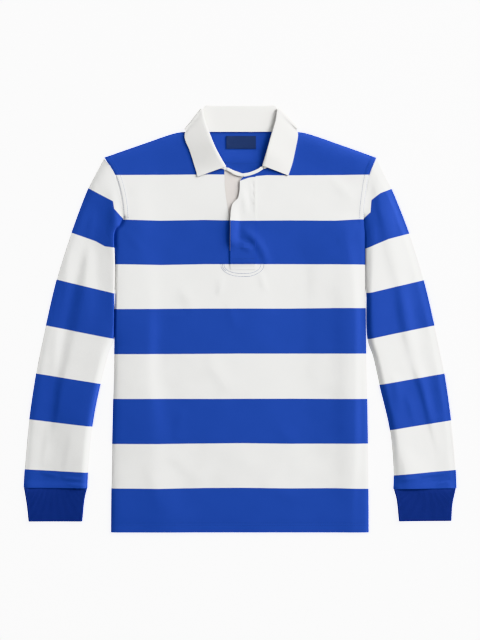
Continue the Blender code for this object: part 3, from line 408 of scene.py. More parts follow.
# The hoop edges of the sleeves, from the outer fold to the inner: the first, and those below it.
CROWN_EDGE = {
    "right": table("x y", (-273.6, 236.5), (-228.2, 212.4), (-226.6, 199.4), (-209.3, 179.6)),
    "left": table("x y", (273.1, 235.6), (252.2, 227.3), (236.2, 214.7), (234.4, 192.8),
                  (222.1, 180.9))}
SLEEVE_HOOPS = {
    "right": table("x0 y0 x1 y1 x2 y2 x3 y3",
                   (-304, 156.4, -260.1, 140.9, -243, 131.4, -224.8, 128.9),
                   (-330.7, 72, -296, 63.6, -261, 55.2, -226.6, 47),
                   (-350.1, -10.6, -309, -18.8, -268, -27, -227, -34.9),
                   (-367.7, -97, -329, -103.2, -290, -109.4, -250.6, -115.6),
                   (-380, -179.6, -342, -184.2, -303, -188.8, -265, -193.1),
                   (-388.3, -269.5, -350, -271.5, -311, -273.5, -273.2, -275.4)),
    "left": table("x0 y0 x1 y1 x2 y2 x3 y3",
                  (305.3, 154.6, 266.6, 144.4, 233.8, 130.5, 225.5, 127.6),
                  (331.2, 71.1, 299, 63.4, 266, 55.6, 233.8, 47.9),
                  (350.6, -10.8, 311, -18.9, 272, -26.9, 234.9, -34.9),
                  (368.5, -97, 329, -103.9, 290, -110.8, 250.4, -117.7),
                  (380.5, -181.6, 343, -187.5, 306, -193.4, 269.3, -199.3),
                  (388.8, -270.5, 351, -273.8, 313, -277.2, 275.2, -280.8))}

# Stitching: the length, width and height of a stitch in each kind of row, and the pitch of the
# kinds that don't take the user's.
STITCH = {"armhole": (2.5, 0.8, 0.6), "hem": (2.2, 0.6, 0.4), "placket base": (2.2, 0.95, 0.6),
          "fly": (1.9, 0.6, 0.5), "fly base": (1.9, 0.5, 0.6), "back of neck": (2.2, 0.7, 0.4)}
PITCH = {"placket base": 2.6, "fly": 2.6, "fly base": 2.4, "back of neck": 2.8}
# The rows' distances from the armhole seam and from the hem's edge.
ARMHOLE_ROWS = (1.6, 8.2)
HEM_ROWS = (HEM_DEPTH, HEM_DEPTH - 4.5)
HEM_ROW_END, HEM_ROW_SINK = 228.0, 0.1
# The row round the placket's base and the way each of its points goes in a larger row; then by
# how much each row is larger, and the share of it that is sewn.
BASE_ROW = table("x y grow_x grow_y",
                 (-29.5, 103.0, -1.0, 0.0), (-27.5, 93.0, -1.0, -0.3), (-18.0, 86.0, 0.0, -1.0),
                 (4.0, 82.8, 0.0, -1.0), (24.0, 84.8, 0.0, -1.0), (35.0, 92.0, 1.0, -0.3),
                 (38.5, 103.0, 1.0, 0.0))
BASE_ROWS = ((0.0, 1.0), (2.7, 0.3), (5.4, 1.0))
FLY_ROW = table("x y", (25.4, 252.0), (24.8, 238.0), (25.9, 224.0), (24.9, 208.0), (25.6, 192.0),
                (25.2, 176.0))
# The height and the two ends of each row across the fly's base.
FLY_BARS = ((127.8, -15.0, 14.0), (109.4, -15.0, 26.0))
BACK_ROW = table("x y", (-30.0, 283.6), (-10.0, 281.0), (12.0, 280.6), (34.0, 283.0))
BACK_ROW_POINTS = 24

# The camera hangs over this place, and this much higher than the user's height.
CAMERA_ASIDE = (-0.0002, -0.0009)
CAMERA_LIFT = 0.003
FLOOR_DROP = 0.0002
FLOOR_HALF = 6.0
PURE_WHITE = (1.0, 1.0, 1.0, 1.0)


def mix(a, b, share):
    """The value that lies the given share of the way from a to b."""
    return a + (b - a) * share


def smooth(values, per_span):
    """Points of the smooth curve through the rows of values, per_span to each gap."""
    values = np.asarray(values, dtype=float)
    knots = np.vstack([2 * values[0] - values[1], values, 2 * values[-1] - values[-2]])
    points = []
    for a, b, c, d in zip(knots, knots[1:], knots[2:], knots[3:]):
        gaps = [max(np.linalg.norm(q - p), 1e-6) ** 0.5 for p, q in ((a, b), (b, c), (c, d))]
        t = np.concatenate([[0.0], np.cumsum(gaps)])
        for s in np.linspace(t[1], t[2], per_span, endpoint=False):
            first = [mix(p, q, (s - t[k]) / (t[k + 1] - t[k]))
                     for k, (p, q) in enumerate(((a, b), (b, c), (c, d)))]
            second = [mix(first[k], first[k + 1], (s - t[k]) / (t[k + 2] - t[k])) for k in (0, 1)]
            points.append(mix(second[0], second[1], (s - t[1]) / (t[2] - t[1])))
    return np.vstack(points + [values[-1]])


def path(rows, per_span=8):
    """Smooth curve through the columns of a table."""
    return smooth(np.column_stack(list(rows.values())), per_span)


def lengths(curve):
    """Distance along a curve at each of its points."""
    return np.concatenate([[0.0], np.cumsum(np.linalg.norm(np.diff(curve, axis=0), axis=1))])


def span(curve):
    """Whole length of a curve."""
    return lengths(curve)[-1]


def along(curve, distances):
    """Points of a curve at the given distances from its start."""
    run = lengths(curve)
    return np.column_stack([np.interp(distances, run, column) for column in curve.T])


def share_beside(points, start, step):
    """Share of the step from start that lies beside each point, from 0 to 1, in a last axis."""
    return np.clip(((points - start) @ step) / (step @ step), 0.0, 1.0)[..., None]


def distance(points, curve):
    """Shortest plan distance from each point to a curve."""
    points = np.asarray(points)
    best = np.full(points.shape[:-1], np.inf)
    for start, end in zip(curve[:-1], curve[1:]):
        step = end - start
        away = points - start - share_beside(points, start, step) * step
        best = np.minimum(best, np.linalg.norm(away, axis=-1))
    return best


def ease(value, near, far):
    """1 up to near, 0 from far, and a soft step between."""
    share = np.clip((far - value) / (far - near), 0.0, 1.0)
    return share * share * (3.0 - 2.0 * share)


def rounding(edge, radius):
    """0 on a folded edge, rising as a quarter circle to 1 where the rounding ends."""
    return np.sqrt(1.0 - np.clip(1.0 - edge / radius, 0.0, 1.0) ** 2)


def loft(edge, crest, near=LOFT_NEAR, far=LOFT_FAR):
    """Rise of the upper cloth beside a fold: none on the fold, a crest, and flat again."""
    return crest * ease(edge, near, far) * (1.0 - ease(edge, 0.0, near))


def creases(points, rows):
    """Sum of the short ridges and troughs of a table at each plan point."""
    rise = np.zeros(points.shape[:-1])
    for x0, y0, x1, y1, width, height in zip(*rows.values()):
        start, step = np.array([x0, y0]), np.array([x1 - x0, y1 - y0])
        share = share_beside(points, start, step)
        away = np.linalg.norm(points - start - share * step, axis=-1)
        rise += height * np.sqrt(np.sin(np.pi * share[..., 0])) * np.exp(-(away / width) ** 2)
    return rise


def folded(points, lines):
    """Sum of the long folds at each plan point, each read at the nearest place of its line."""
    rise = np.zeros(points.shape[:-1])
    for line in lines:
        rows = path(line, per_span=4)
        nearest = np.full(points.shape[:-1], np.inf)
        here = np.zeros(points.shape[:-1])
        for start, end in zip(rows[:-1], rows[1:]):
            share = share_beside(points, start[:2], end[:2] - start[:2])
            x, y, west, east, height = np.moveaxis(mix(start, end, share), -1, 0)
            away = np.hypot(points[..., 0] - x, points[..., 1] - y)
            width = np.where(points[..., 0] < x, west, east)
            here = np.where(away < nearest, height * np.exp(-(away / width) ** 2), here)
            nearest = np.minimum(nearest, away)
        rise += here
    return rise


def waves(points):
    """The low waves at each plan point."""
    rise = np.zeros(points.shape[:-1])
    for x, y, turn, height in zip(*WAVES.values()):
        phase = 2.0 * np.pi * MM * (points[..., 0] * x + points[..., 1] * y) + turn
        rise += height * np.sin(phase)
    return rise


def limited(rise, limit=LOFT_LIMIT):
    """Keep the rise of a panel under a limit, and its dips clear of the cloth below."""
    return np.where(rise > 0.0, limit * np.tanh(rise / limit), DIP_LIMIT * np.tanh(rise / DIP_LIMIT))


OUTWARD = {"right": -1, "left": 1}
SIDE_PATH = {hand: smooth(np.column_stack([SIDES["wearer_" + hand], SIDES["y"]]), per_span=6)
             for hand in OUTWARD}
SHOULDER_PATH = {hand: path(SHOULDER[hand]) for hand in OUTWARD}
ARMHOLE_PATH = {hand: path(ARMHOLE[hand]) for hand in OUTWARD}


def fold_distances(points):
    """Distances from plan points to the sides and to the shoulders of the body."""
    side = np.minimum(*(distance(points, SIDE_PATH[hand]) for hand in OUTWARD))
    shoulder = np.minimum(*(distance(points, SHOULDER_PATH[hand]) for hand in OUTWARD))
    return side, shoulder


def front_height(points):
    """Middle of the front panel above the surface, at plan points."""
    side, shoulder = fold_distances(points)
    rise = loft(side, SIDE_LOFT) + loft(shoulder, SHOULDER_LOFT)
    rise = rise + folded(points, BODY_FOLDS) + creases(points, BODY_CREASES) + waves(points)
    edge = np.minimum(side, shoulder)
    steep = ease(np.abs(points[..., 1] - STEEP_MIDDLE), *STEEP_REACH) * (points[..., 0] < 0.0)
    near = edge / mix(EDGE_LOFT, STEEP_EDGE, steep)
    return FRONT_LEVEL + limited(rise + BODY_LOFT) * (1.0 - ease(near, 0.0, 1.0))


def lifted(plan, heights):
    """Plan points with their heights."""
    return np.concatenate([plan, heights[..., None]], axis=-1)


def coons(bottom, top, first, last, across, up):
    """Plan grid between four edges; across and up are the shares of its columns and rows."""
    u, v = across[None, :, None], up[:, None, None]
    ruled = mix(bottom[None], top[None], v) + mix(first[:, None], last[:, None], u)
    corners = mix(mix(bottom[0], bottom[-1], u), mix(top[0], top[-1], u), v)
    return ruled - corners


def spaced(length, cell, near=EDGE_STEPS):
    """Distances along a line, close together near its start and a cell apart beyond."""
    count = max(2, round((length - near[-1]) / cell))
    return np.concatenate([near, np.linspace(near[-1], length, count + 1)[1:]])


def yoke(hand, top, inner, bottom, cell):
    """Plan grid of the upper body between a side and an inner edge, columns side first."""
    armhole = ARMHOLE_PATH[hand]
    underarm = armhole[0, 1]
    below = np.linspace(PLACKET_BASE, underarm, round((underarm - PLACKET_BASE) / cell) + 1)
    side = np.column_stack([np.interp(below, SIDE_PATH[hand][:, 1], SIDE_PATH[hand][:, 0]), below])
    low = np.interp(below, inner[:, 1], lengths(inner))
    rise = span(armhole) - spaced(span(armhole), cell)[::-1]
    first = np.vstack([side, along(armhole, rise[1:])])
    share = rise[1:] / span(armhole)
    last = along(inner, np.concatenate([low, low[-1] + share * (span(inner) - low[-1])]))
    across = lengths(bottom) / span(bottom)
    up = (lengths(first) / span(first) + lengths(last) / span(last)) / 2
    return coons(bottom, along(top, across * span(top)), first, last, across, up)


def body_rows(cell):
    """Heights of the rows from the hem to the base of the placket."""
    return HEM + spaced(PLACKET_BASE - HEM, cell, HEM_STEPS)


def half_rows(y, hand, inner_x, cell):
    """One row of plan points from a side of the body to an inner edge."""
    edge = np.interp(y, SIDE_PATH[hand][:, 1], SIDE_PATH[hand][:, 0])
    share = spaced(HALF_WIDTH, cell)
    return np.column_stack([mix(edge, inner_x, share / share[-1]), np.full(len(share), y)])


def front_plan(cell):
    """Plan grid of the front and a mask without the cells of the placket slit."""
    slit_x = SLIT_EDGE["x"][0]
    rows = []
    for y in body_rows(cell):
        right = half_rows(y, "right", slit_x, cell)
        left = half_rows(y, "left", PLACKET_INNER, cell)[::-1]
        middle = np.linspace(slit_x, PLACKET_INNER, SLIT_CELLS + 1)[1:-1]
        middle = np.column_stack([middle, np.full(len(middle), y)])
        rows.append(np.vstack([right, middle, left]))
    base, width = rows[-1], len(right)
    slit_right = np.vstack([path(SLIT_EDGE)[:-1], path(NECKLINE["right"])[::-1]])
    slit_left = np.vstack([[[PLACKET_INNER, PLACKET_BASE]], path(NECKLINE["left"])[::-1]])
    upper_right = yoke("right", SHOULDER_PATH["right"], slit_right, base[:width], cell)
    upper_left = yoke("left", SHOULDER_PATH["left"], slit_left, base[-width:][::-1], cell)[:, ::-1]
    count = min(len(upper_right), len(upper_left))
    upper_right, upper_left = resampled(upper_right, count), resampled(upper_left, count)
    filler = np.stack([mix(upper_right[:, -1], upper_left[:, 0], k / SLIT_CELLS)
                       for k in range(1, SLIT_CELLS)], axis=1)
    upper = np.concatenate([upper_right, filler, upper_left], axis=1)
    plan = np.concatenate([np.stack(rows), upper[1:]])
    keep = np.ones((plan.shape[0] - 1, plan.shape[1] - 1), dtype=bool)
    keep[len(rows) - 1:, width - 1:width - 1 + SLIT_CELLS] = False
    return plan, keep


def resampled(grid, count):
    """The same grid with another number of rows."""
    at = np.linspace(0.0, len(grid) - 1.0, count)
    low = np.minimum(at.astype(int), len(grid) - 2)
    return mix(grid[low], grid[low + 1], (at - low)[:, None, None])


def back_plan(cell):
    """Plan grid of the back, up to the neck seam."""
    rows = []
    for y in body_rows(cell):
        right = half_rows(y, "right", 0.0, cell)
        left = half_rows(y, "left", 0.0, cell)[::-1]
        rows.append(np.vstack([right, left[1:]]))
    base, width = rows[-1], len(right)
    centre = np.array([[0.0, PLACKET_BASE], [0.0, NECK_SEAM]])
    halves = {}
    for hand, bottom in (("right", base[:width]), ("left", base[-width:][::-1])):
        top = np.vstack([SHOULDER_PATH[hand], centre[1:]])
        halves[hand] = yoke(hand, top, centre, bottom, cell)
    count = min(len(half) for half in halves.values())
    right = resampled(halves["right"], count)
    left = resampled(halves["left"], count)[:, ::-1]
    upper = np.concatenate([right, left[:, 1:]], axis=1)
    return np.concatenate([np.stack(rows), upper[1:]])


def unit(vectors):
    """Vectors of length one along the given ones."""
    return vectors / np.maximum(np.linalg.norm(vectors, axis=-1, keepdims=True), 1e-9)


def across_folds(width, edges, rows):
    """Distances from the first fold, square to it and along a row that leaves the folds aslant."""
    inside = np.linspace(FOLD_STEPS[-1], width - FOLD_STEPS[-1], SLEEVE_MIDDLE + 2)[1:-1]
    square = np.concatenate([FOLD_STEPS, inside, width - FOLD_STEPS[::-1]])
    cross = edges[..., 0] * rows[..., 1] - edges[..., 1] * rows[..., 0]
    first, last = 1.0 / np.clip(np.abs(cross), LEAST_SLANT, 1.0) - 1.0
    back = width - square
    return square, (square + first * square * np.exp(-square / SLANT_FADE)
                    - last * back * np.exp(-back / SLANT_FADE))


def sleeve_rings(hand):
    """Middle of a sleeve's cloth, ring by ring: over the top from the outer to the inner edge."""
    outward = OUTWARD[hand]
    armhole = ARMHOLE_PATH[hand][::-1]
    edges = path(SLEEVE[hand], SLEEVE_SPAN)
    tangents = unit(np.gradient(edges.reshape(-1, 2, 2), axis=0))
    ends = unit(np.array([armhole[1] - armhole[0], armhole[-1] - armhole[-2]]))
    nominal, sweep = across_folds(span(armhole), tangents[0], ends)
    seam = along(armhole, sweep)
    seam_height = front_height(seam)
    tangent = np.gradient(seam, axis=0)
    normal = -outward * unit(np.column_stack([tangent[:, 1], -tangent[:, 0]]))
    near_end = ease(np.minimum(sweep, span(armhole) - sweep), 0.0, SEAM_CLEARANCE_REACH)
    seam = seam + normal * (SEAM_GAP + SEAM_CLEARANCE * near_end)[:, None]
    straight = (sweep / span(armhole))[:, None]
    edges[0] = np.concatenate([seam[0], seam[-1]])
    run = lengths(edges[:, :2])
    rings = []
    for k, (outer_x, outer_y, inner_x, inner_y) in enumerate(edges):
        inset = JERSEY_HALF if k else 0.0
        outer = np.array([outer_x - outward * inset, outer_y])
        inner = np.array([inner_x + outward * inset, inner_y])
        if k:
            body = np.interp(inner_y, SIDE_PATH[hand][:, 1], SIDE_PATH[hand][:, 0])
            beside = outward * body + SIDE_CLEARANCE
            beside -= ARMPIT_CLOSING * np.exp(-((inner_y - ARMPIT_Y) / ARMPIT_REACH) ** 2)
            free = max(outward * inner[0], beside)
            inner[0] = outward * mix(free, beside, ease(-inner_y, *BESIDE_BODY))
            width = np.linalg.norm(inner - outer)
            nominal, reach = across_folds(width, tangents[k], unit(inner - outer))
            share = reach[:, None] / width
        else:
            share = straight
        bend = ease(run[k], 0.0, mix(BEND_REACH, BEND_REACH_INNER, share ** 2))
        top = mix(outer, inner, share) + bend * (seam - mix(seam[0], seam[-1], straight))
        flare = CUFF_FLARE * ease(run[-1] - run[k], 0.0, CUFF_FLARE_REACH)
        rings.append(sleeve_ring(hand, top, nominal, seam_height, bend[:, 0] ** 2, flare))
    return np.stack(rings)


def sleeve_ring(hand, top, reach, seam_height, seam_share, flare):
    """One ring: the domed upper cloth and, under it, the flat lower cloth."""
    edge = np.minimum(reach, reach[-1] - reach)
    rise = loft(edge, SLEEVE_LOFT, *SLEEVE_LOFT_REACH) + waves(top) + flare
    rise = rise + folded(top, SLEEVE_FOLDS[hand]) + creases(top, SLEEVE_CREASES[hand])
    inner = mix(FREE_RISE, BESIDE_RISE[hand], ease(-top[:, 1], *BESIDE_END[hand]))
    near = np.minimum(reach / OUTER_RISE[hand], (reach[-1] - reach) / inner)
    over = FRONT_LEVEL + limited(rise, SLEEVE_LIMIT[hand]) * (1.0 - ease(near, 0.0, 1.0))
    over = mix(over, seam_height, seam_share)
    over = mix(FOLD_LEVEL, over, rounding(edge, FOLD_RADIUS))
    under = mix(FOLD_LEVEL, BACK_LEVEL, rounding(edge, FOLD_RADIUS))
    return np.concatenate([lifted(top, over), lifted(top, under)[1:-1][::-1]])


def cuff_rings(hand):
    """Middle of a cuff's cloth, ring by ring, with its ribs as low waves round it."""
    edges = path(CUFF[hand], CUFF_SPAN)
    rings = []
    for share in CUFF_SHARES:
        place = along(edges, [share * span(edges)])[0]
        outer, inner = place[:2], place[2:]
        width = np.linalg.norm(inner - outer) - CUFF_CLOTH
        inward = unit(inner - outer)
        near, start = CUFF_EDGE_STEPS, RIB_START
        upper = np.linspace(start, width - start, 4 * RIBS + 1)
        upper = np.concatenate([near, upper, width - near[::-1]])
        lower = np.linspace(near[-1], width - near[-1], 2 * RIBS + 1)
        lower = np.concatenate([near[1:3], lower, width - near[1:3][::-1]])[::-1]
        reach = np.concatenate([upper, lower])
        is_upper = np.arange(len(reach)) < len(upper)
        edge = np.minimum(reach, width - reach)
        full = CUFF_LEVEL + CUFF_LOFT * ease(edge, *CUFF_LOFT_REACH)
        full = np.where(is_upper, full, CUFF_CLOTH / 2)
        height = mix(CUFF_APEX, full, rounding(edge, CUFF_APEX - CUFF_CLOTH / 2))
        turn = 2.0 * np.pi * RIBS * (reach - start) / (width - 2.0 * start)
        rib = np.cos(turn) * (edge > start - 0.1) * is_upper
        pressed = np.exp(-min(share, 1.0 - share) / RIB_END) * RIB_END_SHARE
        height = height + RIB_HEIGHT * rib * (1.0 - pressed) - RIB_END_DIP * pressed * is_upper
        tucked = np.exp(-share * span(edges) / CUFF_TUCK_FADE) * is_upper
        tucked = tucked * (1.0 - ease(edge, *CUFF_TUCK_REACH))
        height = mix(height, np.minimum(height, CUFF_TUCKED), tucked)
        plan = outer + inward * (CUFF_CLOTH / 2 + reach[:, None])
        plan[:, 1] += CUFF_TUCK * tucked * (share == 0.0)
        rings.append(lifted(plan, height))
    return np.stack(rings)


def collar_rows(rows, way):
    """Rows of the collar from neck seam over the roll; way is 1 with the fall on top."""
    lines = []
    for row in path(rows, COLLAR_SPAN):
        neck, roll, outer, room = row[0:3].copy(), row[3:6], row[6:9].copy(), row[9]
        if way > 0:
            neck[2] += front_height(neck[:2]) + COLLAR_OVER_FRONT
            outer[2] += front_height(outer[:2]) + COLLAR_OVER_FRONT
        forward = np.append(unit(roll[:2] - neck[:2]), 0.0)
        side = np.array([0.0, 0.0, way * room])
        centre = roll - forward * (room + COLLAR_TURN / 2)
        arc = [centre - side * np.cos(a) + forward * room * np.sin(a)
               for a in np.linspace(0.0, np.pi, TURN_STEPS + 1)]
        stand = [mix(neck, arc[0], s) for s in np.linspace(0.0, 1.0, STAND_STEPS + 1)[:-1]]
        crown = np.array([0.0, 0.0, FALL_CROWN * (way > 0)])
        fall = [mix(arc[-1], outer, s) + crown * np.sin(np.pi * s ** FALL_CROWN_LEAN)
                for s in np.linspace(0.0, 1.0, FALL_STEPS + 1)[1:]]
        lines.append(stand + arc + fall)
    return np.array(lines)


def mitre(first, last, hand):
    """The diagonal fold at a shoulder, where the collar turns over from front to back."""
    middle, half = (first + last) / 2, (first - last) / 2
    forward = middle[STAND_STEPS + TURN_STEPS // 2, :2] - middle[0, :2]
    outward = OUTWARD[hand] * np.array([forward[1], -forward[0], 0.0]) / np.linalg.norm(forward)
    bulge = np.linalg.norm(half, axis=1)[:, None] * outward
    return np.array([middle + half * np.cos(t) + bulge * np.sin(t) for t in MITRE_TURNS])


def collar_grid():
    """Middle of the collar's cloth, from the wearer's right end round the back to the left."""
    right, left = collar_rows(COLLAR["right"], 1), collar_rows(COLLAR["left"], 1)
    back = collar_rows(COLLAR["back"], -1)
    return np.concatenate([right, mitre(right[-1], back[0], "right"), back,
                           mitre(back[-1], left[0], "left"), left])


def tape_grid(hand):
    """A neck tape, a narrow crowned strip on the front, and how far each row dips under the collar."""
    line = path(TAPE[hand])
    tangent = np.gradient(line, axis=0)
    normal = unit(np.column_stack([-tangent[:, 1], tangent[:, 0]]))
    shares = np.linspace(-0.5, 0.5, TAPE_COLUMNS)
    plan = np.stack([line + normal * TAPE_WIDTH * s for s in shares], axis=1)
    dip = ease(lengths(line), *TAPE_DIP_REACH)[:, None]
    crown = TAPE_CROWN * (1.0 - (2.0 * shares) ** 2) * (1.0 - dip)
    return lifted(plan, front_height(plan) + LEVEL_OVER_FRONT + crown - TAPE_DIP * dip), dip


def under_placket_grid():
    """The under placket in the slit of the front."""
    edge = path(SLIT_EDGE)
    top = np.vstack([path(TAPE["right"]), path(TAPE["left"])[::-1]])
    rows = []
    low, corner = edge[0, 1], edge[-1, 1]
    for y in np.linspace(low, corner, UNDER_ROWS):
        x = np.interp(y, edge[:, 1], edge[:, 0])
        climb = (y - low) / (corner - low)
        line = []
        for across in np.linspace(0.0, 1.0, UNDER_COLUMNS):
            column = mix(x + SEAM_GAP, PLACKET_INNER - SEAM_GAP, across)
            high = np.interp(column, top[:, 0], top[:, 1]) - TAPE_GAP
            high = mix(corner - UNDER_CORNER, high, across)
            line.append((column, mix(low + SEAM_GAP, high, climb)))
        rows.append(line)
    plan = np.array(rows)
    return lifted(plan, front_height(plan) - UNDER_DROP)


def fly_grid(inset=0.0, drop=0.0):
    """The fly over the placket: sewn along its inner edge, free and lifted on the other.

    Its top slants to stay under the neck tape. The inset moves its free edge in, and the drop
    lowers it.
    """
    edge = path(FLY_EDGE, FLY_SPAN)
    tape = path(TAPE["left"])[::-1]
    low, high = edge[0, 1], edge[-1, 1]
    rows = []
    for x, y, lift in edge:
        share = (y - low) / (high - low)
        line = []
        for across in FLY_SHARES:
            column = mix(x + inset, FLY_INNER, across)
            under_tape = np.interp(column, tape[:, 0], tape[:, 1]) - TAPE_WIDTH / 2 - TAPE_GAP
            slant = share ** 4 * (under_tape - high) * min(1.0, across * 4)
            height = lift * ease(column - x, 0.0, FLY_LIFT_REACH) - drop
            line.append((column, y + slant, height))
        rows.append(line)
    grid = np.array(rows)
    return lifted(grid[..., :2], fly_level(grid[..., :2]) + grid[..., 2])


def fly_level(plan):
    """Height of the fly's middle where it isn't lifted: creased, and flat at its sewn base."""
    crease = np.maximum(creases(plan, FLY_CREASES), -FLY_CREASE_DEPTH)
    settled = ease(plan[..., 1], *FLY_BASE)
    level = mix(LEVEL_OVER_FRONT, FLY_BASE_LEVEL, settled) + crease * (1.0 - settled)
    return front_height(plan) + level


def hoop_number(y, lines):
    """Hoop number at plan heights y among the heights of the hoop edges, the first edge being 0."""
    first = (lines[..., 0] - y) / HOOP_PITCH
    last = lines.shape[-1] - 1 + (lines[..., -1] - y) / HOOP_PITCH
    hoop = np.where(y > lines[..., 0], first, last)
    for k in range(lines.shape[-1] - 1):
        share = (lines[..., k] - y) / (lines[..., k] - lines[..., k + 1])
        hoop = np.where((share >= 0.0) & (share < 1.0), k + share, hoop)
    return hoop


def hoop_of_body(points):
    """Hoop number at plan points of the body: whole numbers where a hoop starts."""
    lines = [start - np.interp(points[..., 0], HOOP_STRAY_AT, stray)
             for start, stray in zip(HOOPS, HOOP_STRAY)]
    return hoop_number(points[..., 1], np.stack(lines, axis=-1))


def hoop_of_fly(points):
    """Hoop number on the fly, whose top hoop edge has dropped towards its free side."""
    drop = np.interp(points[..., 0], FLY_HOOP_DROP["x"], FLY_HOOP_DROP["drop"])
    moved = points.copy()
    moved[..., 1] = moved[..., 1] + drop * ease(-points[..., 1], *FLY_HOOP_REACH)
    return hoop_of_body(moved)


def hoop_of_sleeve(points, hand):
    """Hoop number at plan points of a sleeve."""
    lines = [(CROWN_EDGE[hand]["x"], CROWN_EDGE[hand]["y"])]
    lines += [(row[0::2], row[1::2]) for row in np.column_stack(list(SLEEVE_HOOPS[hand].values()))]
    across = points[..., 0] * OUTWARD[hand]
    lines = [np.interp(across, x[::-1] * OUTWARD[hand], y[::-1]) for x, y in lines]
    return 1.0 + hoop_number(points[..., 1], np.stack(lines, axis=-1))


def skins(grid, thickness, wrap):
    """Both skins of a wall, half its thickness to each side of the grid."""
    closed = np.concatenate([grid, grid[:, :1]], axis=1) if wrap else grid
    a, b, c, d = closed[:-1, :-1], closed[:-1, 1:], closed[1:, 1:], closed[1:, :-1]
    face = np.cross(c - a, d - b)
    face /= np.maximum(np.linalg.norm(face, axis=-1, keepdims=True), 1e-12)
    total = np.zeros_like(closed)
    for row, column in ((0, 0), (0, 1), (1, 1), (1, 0)):
        total[row:row + len(face), column:column + face.shape[1]] += face
    if wrap:
        total[:, 0] += total[:, -1]
        total = total[:, :-1]
    offset = unit(total) * thickness / 2
    return grid + offset, grid - offset


def sheet_mesh(rows, columns, keep):
    """Topology of an open sheet, a face to each cell that is kept."""
    bm = bmesh.new()
    row, column = bm.verts.layers.int.new("row"), bm.verts.layers.int.new("column")
    bmesh.ops.create_grid(bm, x_segments=columns - 1, y_segments=rows - 1, size=0.5)
    for vert in bm.verts:
        vert[column] = round((vert.co.x + 0.5) * (columns - 1))
        vert[row] = round((vert.co.y + 0.5) * (rows - 1))
    if keep is not None:
        cut = [face for face in bm.faces
               if not keep[min(v[row] for v in face.verts), min(v[column] for v in face.verts)]]
        bmesh.ops.delete(bm, geom=cut, context="FACES")
    return bm


def tube_mesh(rows, columns):
    """Topology of an open tube, ring after ring extruded from a circle."""
    bm = bmesh.new()
    row, column = bm.verts.layers.int.new("row"), bm.verts.layers.int.new("column")
    circle = bmesh.ops.create_circle(bm, segments=columns, radius=1.0)["verts"]
    for k, vert in enumerate(circle):
        vert[column] = k
    edges = list(bm.edges)
    for k in range(1, rows):
        made = bmesh.ops.extrude_edge_only(bm, edges=edges)["geom"]
        ring = {item for item in made if isinstance(item, bmesh.types.BMVert)}
        for vert in ring:
            vert[row] = k
        edges = [item for item in made if isinstance(item, bmesh.types.BMEdge)
                 and ring.issuperset(item.verts)]
    return bm


def cloth_coordinates(grid, wrap):
    """Distances across and along the cloth at each grid point, in metres."""
    closed = np.concatenate([grid, grid[:, :1]], axis=1) if wrap else grid
    across = np.linalg.norm(np.diff(closed, axis=1), axis=-1)
    across = np.concatenate([np.zeros((len(grid), 1)), np.cumsum(across, axis=1)], axis=1)
    down = np.linalg.norm(np.diff(closed, axis=0), axis=-1).mean(axis=1)
    down = np.concatenate([[0.0], np.cumsum(down)])
    return across * MM, down * MM


def wall(name, grid, thickness, cloth, node=None, hoops=None, wrap=False, keep=None):
    """Make one cloth wall from the grid of its middle surface, dressed and riding on the body."""
    outer, inner = skins(grid, thickness, wrap)
    # The outer skin is the one that reaches over the greater height.
    if np.ptp(outer[..., 2]) < np.ptp(inner[..., 2]):
        outer, inner = inner, outer
    across, down = cloth_coordinates(grid, wrap)
    rows, columns = grid.shape[:2]
    bm = tube_mesh(rows, columns) if wrap else sheet_mesh(rows, columns, keep)
    first_skin = set(bm.verts)
    # Any thickness will do, because the vertices of both skins are placed next.
    bmesh.ops.solidify(bm, geom=bm.faces[:], thickness=0.1)
    row, column = bm.verts.layers.int["row"], bm.verts.layers.int["column"]
    for vert in bm.verts:
        skin = outer if vert in first_skin else inner
        vert.co = skin[vert[row], vert[column]] * MM
    uv = bm.loops.layers.uv.new("cloth")
    for face in bm.faces:
        around = [loop.vert[column] for loop in face.loops]
        seam = wrap and max(around) - min(around) > columns // 2
        for loop in face.loops:
            at = loop.vert[column]
            at = columns if seam and at == 0 else at
            loop[uv].uv = (across[loop.vert[row], at], down[loop.vert[row]])
    if bm.calc_volume(signed=True) < 0.0:
        bmesh.ops.reverse_faces(bm, faces=bm.faces[:])
    if hoops is not None:
        hoop = bm.verts.layers.float.new("hoop")
        for vert in bm.verts:
            vert[hoop] = hoops[vert[row], vert[column]]
    return finished(name, bm, cloth, node)


# Edges of more than this many degrees stay sharp.
SHARP_FROM = 60.0


def finished(name, bm, cloth, node=None):
    """Turn a bmesh into a piece of the shirt, with its finish, body and solid."""
    mesh = bpy.data.meshes.new(name)
    bm.to_mesh(mesh)
    bm.free()
    mesh.shade_smooth()
    mesh.set_sharp_from_angle(angle=np.radians(SHARP_FROM))
    mesh.materials.append(bpy.data.materials[cloth])
    piece = bpy.data.objects.new(name, mesh)
    bpy.context.scene.collection.objects.link(piece)
    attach(piece, "root")
    if node:
        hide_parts(node)
    return piece


def declare(piece, cut):
    """Work out a laid sheet's flat area, no more than its cut's width times length; nothing keeps it.
    """
    width, length = CUT[cut]
    area = sum(face.area for face in piece.data.polygons) / 2
    area = min(area, width * length)


def add(tree, kind, links=None, **values):
    """A shader node with its values set and its inputs linked."""
    node = tree.nodes.new(kind)
    for key, value in values.items():
        if key in node.bl_rna.properties:
            setattr(node, key, value)
        else:
            node.inputs[key.replace("_", " ")].default_value = value
    for socket, source in (links or {}).items():
        tree.links.new(source, node.inputs[socket])
    return node


def maths(tree, operation, a, b=None, clamp=False):
    """The output of a Math node on sockets or numbers."""
    node = tree.nodes.new("ShaderNodeMath")
    node.operation = operation
    node.use_clamp = clamp
    for socket, value in zip(node.inputs, (a, b)):
        if value is None:
            continue
        if isinstance(value, (int, float)):
            socket.default_value = value
        else:
            tree.links.new(value, socket)
    return node.outputs[0]


